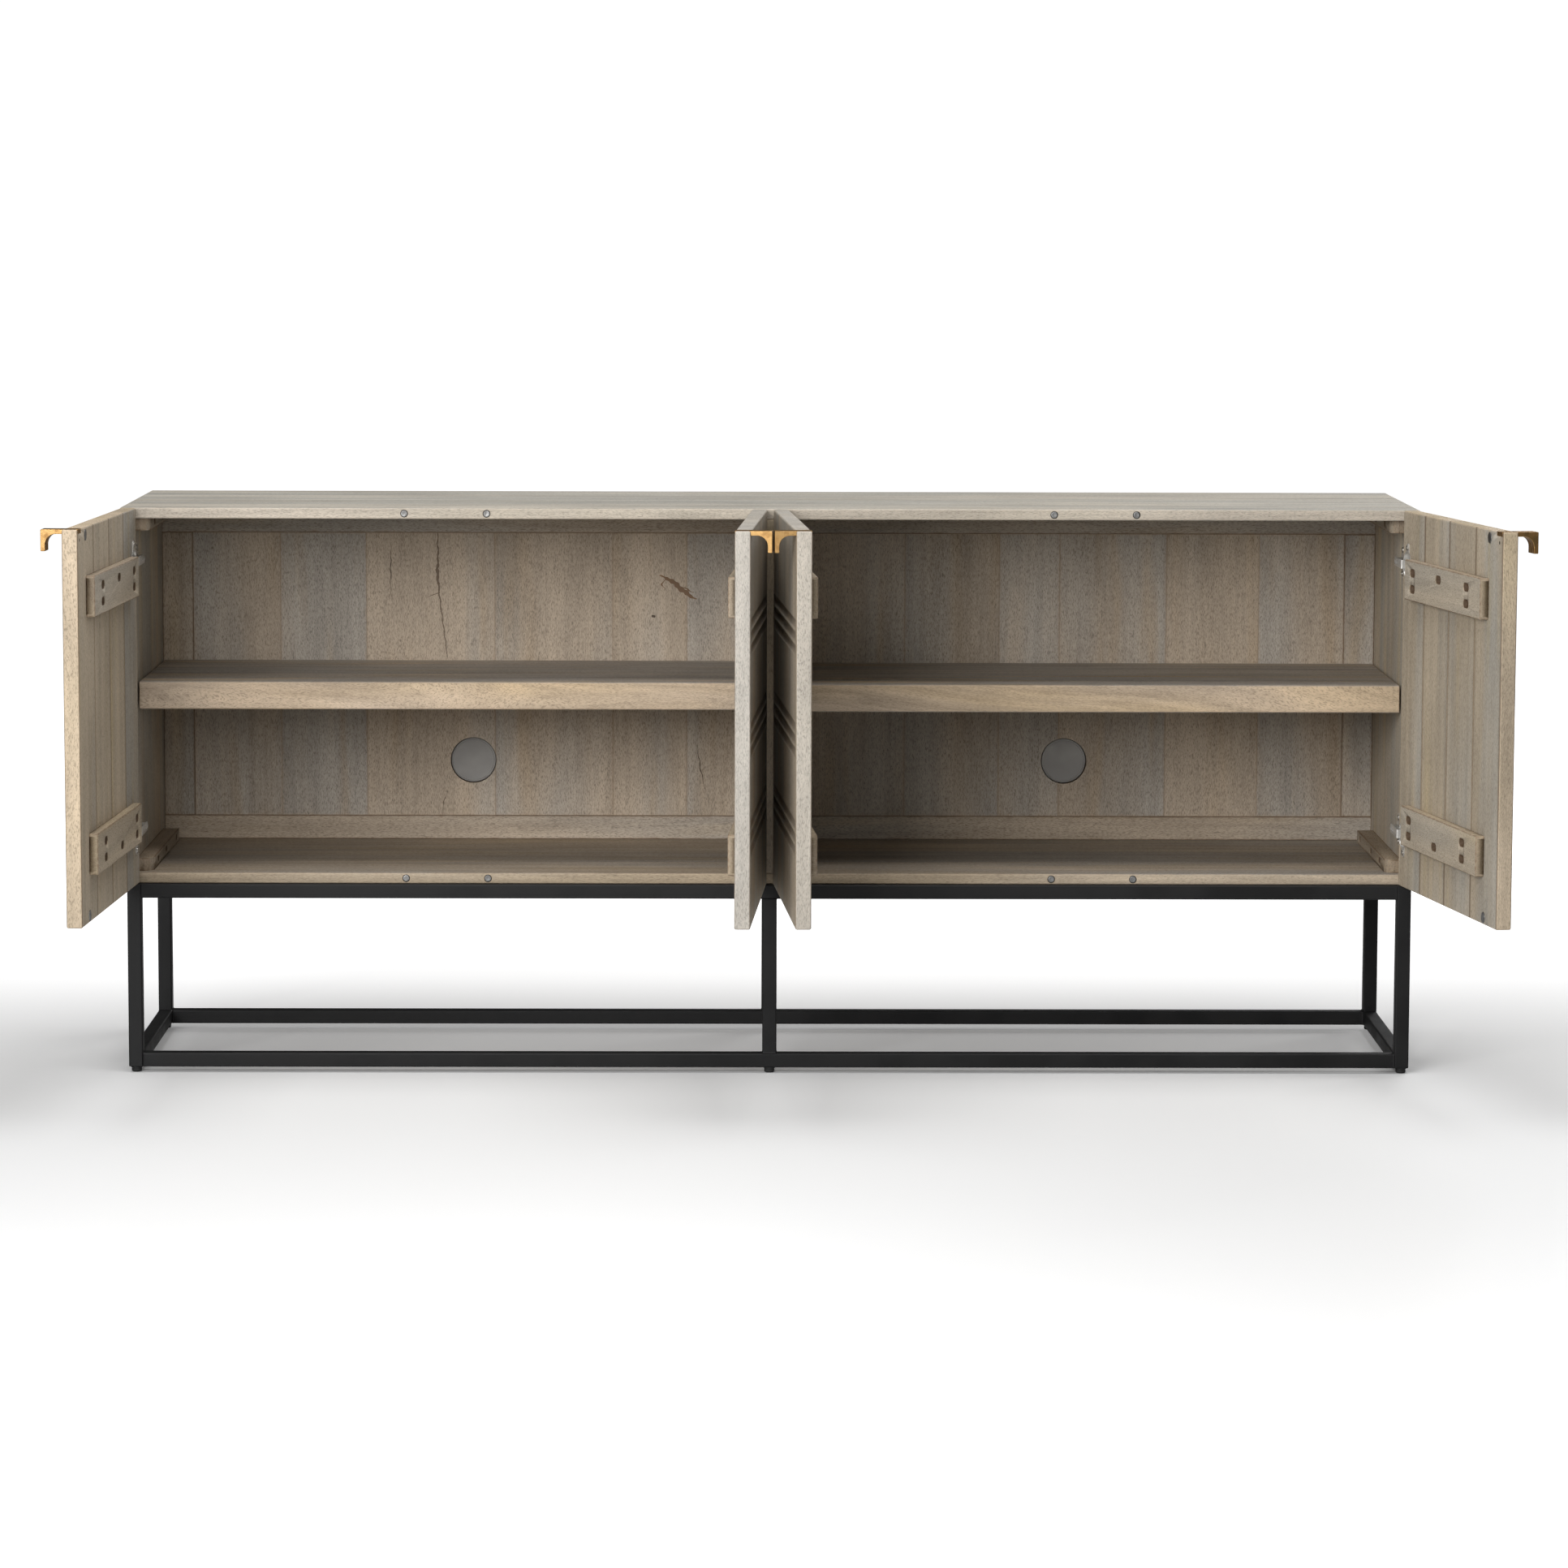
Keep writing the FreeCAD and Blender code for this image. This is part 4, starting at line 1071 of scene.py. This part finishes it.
# %% Cabinet screws
seats, facings = [], []
for wall, way in ((-0.884, 1), (-0.009, -1), (0.009, 1), (0.884, -1)):
    for z in (0.775 - 0.009, 0.281 + 0.009):
        for y in (0.083, 0.185, 0.318):
            seats.append((wall + way * 0.014, y, z))
            facings.append((way, 0, 0))
    for z in HINGE_Z:
        for row in (-1, 1):
            seats.append((wall + way * 0.002, front_y + 0.038, z + row * 0.0165))
            facings.append((way, 0, 0))
print("cabinet screws:", head_group("cabinet_screw_heads", "cabinet_screws", seats, facings, "cabinet"))

# %% [markdown]
# The hinges are pressed and cast metal, small and bright. Their measured shapes are right, so
# they are taken over whole and only sewn together and finished.

# %% Hinges and shelf pins
for door in DOORS:
    cups = taken_over(door + "_hinge_cups", door + "_cups_pressed", door)
    cups.data.materials.append(nickel)
for node in ("hinge_arms", "hinge_plates", "shelf_pins"):
    part = taken_over(node, node + "_plated", "cabinet")
    part.data.materials.append(nickel)
print("hinges finished")

# %% [markdown]
# Old checks in the planks were filled with dark resin and sanded flush, and there are a few
# small knots. Each is a thin ribbon that lies almost flush on the wood and follows a given
# line, its width swelling and pinching out to a point. A noise mask in the grain could scatter
# such marks anywhere, but these belong where they are.


# %% Filled checks and knots
def ribbon(line, widths, surface, lift=0.00016, steps=40):
    """A thin lens-shaped strip along a smooth line in the plank's plane.

    The line is evened out by interpolating its points against distance; each station has five
    points across, from minus to plus half the width, the middle ones lifted off the surface.
    """
    line, widths = np.asarray(line, float), np.asarray(widths, float)
    walked = np.concatenate([[0], np.cumsum(np.linalg.norm(np.diff(line, axis=0), axis=1))])
    at = np.linspace(0, walked[-1], steps)
    path = np.stack([np.interp(at, walked, line[:, k]) for k in (0, 1)], 1)
    path[1:-1] = (path[:-2] + 2 * path[1:-1] + path[2:]) / 4
    path += 0.0006 * np.sin(at[:, None] * np.array([310.0, 270.0]) + np.array([0.0, 1.0]))
    wide = np.interp(at, walked, widths) * (1 + 0.25 * np.sin(at * 700))
    ahead = np.gradient(path, axis=0)
    ahead /= np.linalg.norm(ahead, axis=1, keepdims=True)
    side = np.stack([-ahead[:, 1], ahead[:, 0]], 1)
    share = np.array([-1.0, -0.6, 0.0, 0.6, 1.0])
    over = path[:, None] + side[:, None] * (wide[:, None, None] * share[None, :, None] / 2)
    rise = np.broadcast_to(np.array([0, 0.8, 1, 0.8, 0]) * lift, over.shape[:2])
    top = surface(np.concatenate([over, rise[..., None]], 2).reshape(-1, 3))
    under = surface(np.concatenate([over, 0 * rise[..., None] - 0.0003], 2).reshape(-1, 3))
    number = np.arange(len(top)).reshape(steps, len(share))
    quads = grid_quads(*number.shape, closed=False)
    rim = np.concatenate([number[0], number[1:, -1], number[-1, -2::-1], number[-2:0:-1, 0]])
    after = np.roll(rim, -1)
    walls = np.stack([rim, after, after + len(top), rim + len(top)], 1)
    return np.vstack([top, under]), np.concatenate([quads, quads[:, ::-1] + len(top), walls]).tolist()


resin = coated("dark_resin", (0.085, 0.062, 0.045), (0.17, 0.125, 0.09), 0.55, 0.75, 0.002, 0.0002, 0.3)
bark = coated("knot_bark", (0.17, 0.10, 0.055), (0.27, 0.155, 0.085), 0.55, 0.75, 0.002, 0.0003, 0.3)
plank_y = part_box("back_panel_left")[0][1]


def on_planks(points):
    """Plank (x, z, lift) to the room: the lift comes forward, towards the viewer."""
    return np.stack([points[:, 0], plank_y - points[:, 2], points[:, 1]], 1)


CHECKS = [([(-0.483, 0.729), (-0.4825, 0.69), (-0.484, 0.675)], (0.0010, 0.0026, 0.0046)),
          ([(-0.484, 0.676), (-0.481, 0.64), (-0.476, 0.60), (-0.471, 0.56), (-0.470, 0.546)],
           (0.0046, 0.0018, 0.0016, 0.0012, 0.0004)),
          ([(-0.480, 0.642), (-0.489, 0.640), (-0.497, 0.637)], (0.0014, 0.0010, 0.0003)),
          ([(-0.551, 0.713), (-0.5515, 0.68), (-0.552, 0.637)], (0.0003, 0.0014, 0.0003)),
          ([(-0.1715, 0.6085), (-0.1665, 0.6075)], (0.003, 0.003)),
          ([(-0.470, 0.352), (-0.476, 0.335), (-0.478, 0.322)], (0.0003, 0.0012, 0.0003)),
          ([(-0.105, 0.42), (-0.100, 0.385), (-0.092, 0.35)], (0.0003, 0.0016, 0.0003))]
KNOTS = [([(-0.160, 0.668), (-0.146, 0.663), (-0.132, 0.652), (-0.118, 0.640), (-0.106, 0.634)],
          (0.0010, 0.0052, 0.0072, 0.0060, 0.0010)),
         ([(-0.150, 0.664), (-0.157, 0.656), (-0.151, 0.649)], (0.0004, 0.0018, 0.0004)),
         ([(-0.128, 0.650), (-0.120, 0.649), (-0.110, 0.643)], (0.0004, 0.0022, 0.0004)),
         ([(0.262, 0.742), (0.268, 0.738)], (0.004, 0.003))]
for name, finish, lines in (("filled_checks", resin, CHECKS), ("bark_knots", bark, KNOTS)):
    marks = make_piece(name, [ribbon(line, widths, on_planks) for line, widths in lines])
    marks.data.materials.append(finish)
print("filled checks and knots:", len(CHECKS) + len(KNOTS))

# %% [markdown]
# The room is a plain pale floor and a white surround. The light is soft and comes mostly from
# above and from the front left, so each bay is darkest in its upper left corner. A small lamp in
# front of the left bay lifts it a little, and one behind lights the back. The surround is white to
# the eye but gives less light than that, so that the insides keep their depth. The floor carries
# painted light that only the eye sees: faint close to the cabinet, as painted shade round it, and
# fuller further off, where it runs into the white. It is paler to the eye than it is as a
# reflector, which keeps the light out of the bays' corners.

# %% Floor, surround and lights
NEAR_SHADE_GLOW, FLOOR_REACH, FLOOR_BACK, FLOOR_POINTS = 0.06, 30, 15, 9
SURROUND, SEEN = 0.045, 1.05
scene = bpy.context.scene
scene.view_settings.view_transform = "Standard"
tree, shader, floor_finish = new_finish("pale_floor", specular_ior_level=0.25, roughness=0.32)
place = put(tree, "TexCoord").outputs["Object"]
cloud = put(tree, "TexNoise", {"Vector": place, "Scale": 0.8, "Detail": 2.0}).outputs["Fac"]
by_eye = put(tree, "LightPath").outputs["Is Camera Ray"]
pale = mixed(tree, cloud, (0.90, 0.90, 0.90, 1), (0.92, 0.92, 0.92, 1))
tree.links.new(mixed(tree, by_eye, (0.60, 0.60, 0.60, 1), pale), shader.inputs["Base Color"])
behind = put(tree, "SeparateXYZ", {0: place}).outputs[1]
away = put(tree, "VectorMath", {0: place}, operation="LENGTH").outputs["Value"]
# Painted light seen only by the eye: faint near the cabinet as painted shade, full further off.
painted_floor_glow = maths(tree, "MAXIMUM", between(tree, behind, 0.0, 2.2, NEAR_SHADE_GLOW, 1.0),
             between(tree, away, 1.3, 4.2, NEAR_SHADE_GLOW, 1.0))
painted_floor_glow = times(tree, by_eye, painted_floor_glow)
tree.links.new(put(tree, "CombineColor", {0: painted_floor_glow, 1: painted_floor_glow, 2: painted_floor_glow}).outputs[0],
               shader.inputs["Emission Color"])
shader.inputs["Emission Strength"].default_value = 1.0
grid = np.linspace(-1, 1, FLOOR_POINTS) * FLOOR_REACH
gx, gy = np.meshgrid(grid, grid + FLOOR_BACK, indexing="ij")
floor_points = np.stack([gx.ravel(), gy.ravel(), np.zeros(gx.size)], 1)
floor_mesh = bpy.data.meshes.new("floor")
floor_mesh.from_pydata(floor_points.tolist(), [],
                       grid_quads(FLOOR_POINTS, FLOOR_POINTS, closed=False)[:, ::-1].tolist())
floor = bpy.data.objects.new("floor", floor_mesh)
floor_mesh.materials.append(floor_finish)
scene.collection.objects.link(floor)

world = bpy.data.worlds.new("surround")
world.use_nodes = True
scene.world = world
backdrop = world.node_tree.nodes["Background"]
seen = put(world.node_tree, "LightPath").outputs["Is Camera Ray"]
strength = put(world.node_tree, "MapRange", {0: seen, 1: 0.0, 2: 1.0, 3: SURROUND, 4: SEEN}).outputs[0]
world.node_tree.links.new(strength, backdrop.inputs["Strength"])
backdrop.inputs["Color"].default_value = (1, 1, 1, 1)


def soft_light(name, at, towards, size, power):
    lamp = bpy.data.lights.new(name, "AREA")
    lamp.shape, lamp.size, lamp.size_y = "RECTANGLE", size[0], size[1]
    lamp.energy = power
    holder = bpy.data.objects.new(name, lamp)
    holder.location = at
    holder.rotation_euler = (Vector(towards) - Vector(at)).to_track_quat("-Z", "Y").to_euler()
    holder.visible_camera = False
    scene.collection.objects.link(holder)


soft_light("key", (-2.1, -4.8, 2.1), (0, 0, 0.5), (2.8, 2.4), 200)
soft_light("overhead", (0.0, -0.6, 6.0), (0, 0.1, 0.4), (5.0, 4.0), 272)
soft_light("behind", (3.2, 4.2, 3.0), (0.2, 0.2, 0.4), (3.0, 2.4), 95)
soft_light("bay_fill", (-0.15, -2.0, 1.15), (-0.9, -0.25, 0.55), (0.9, 0.7), 8)
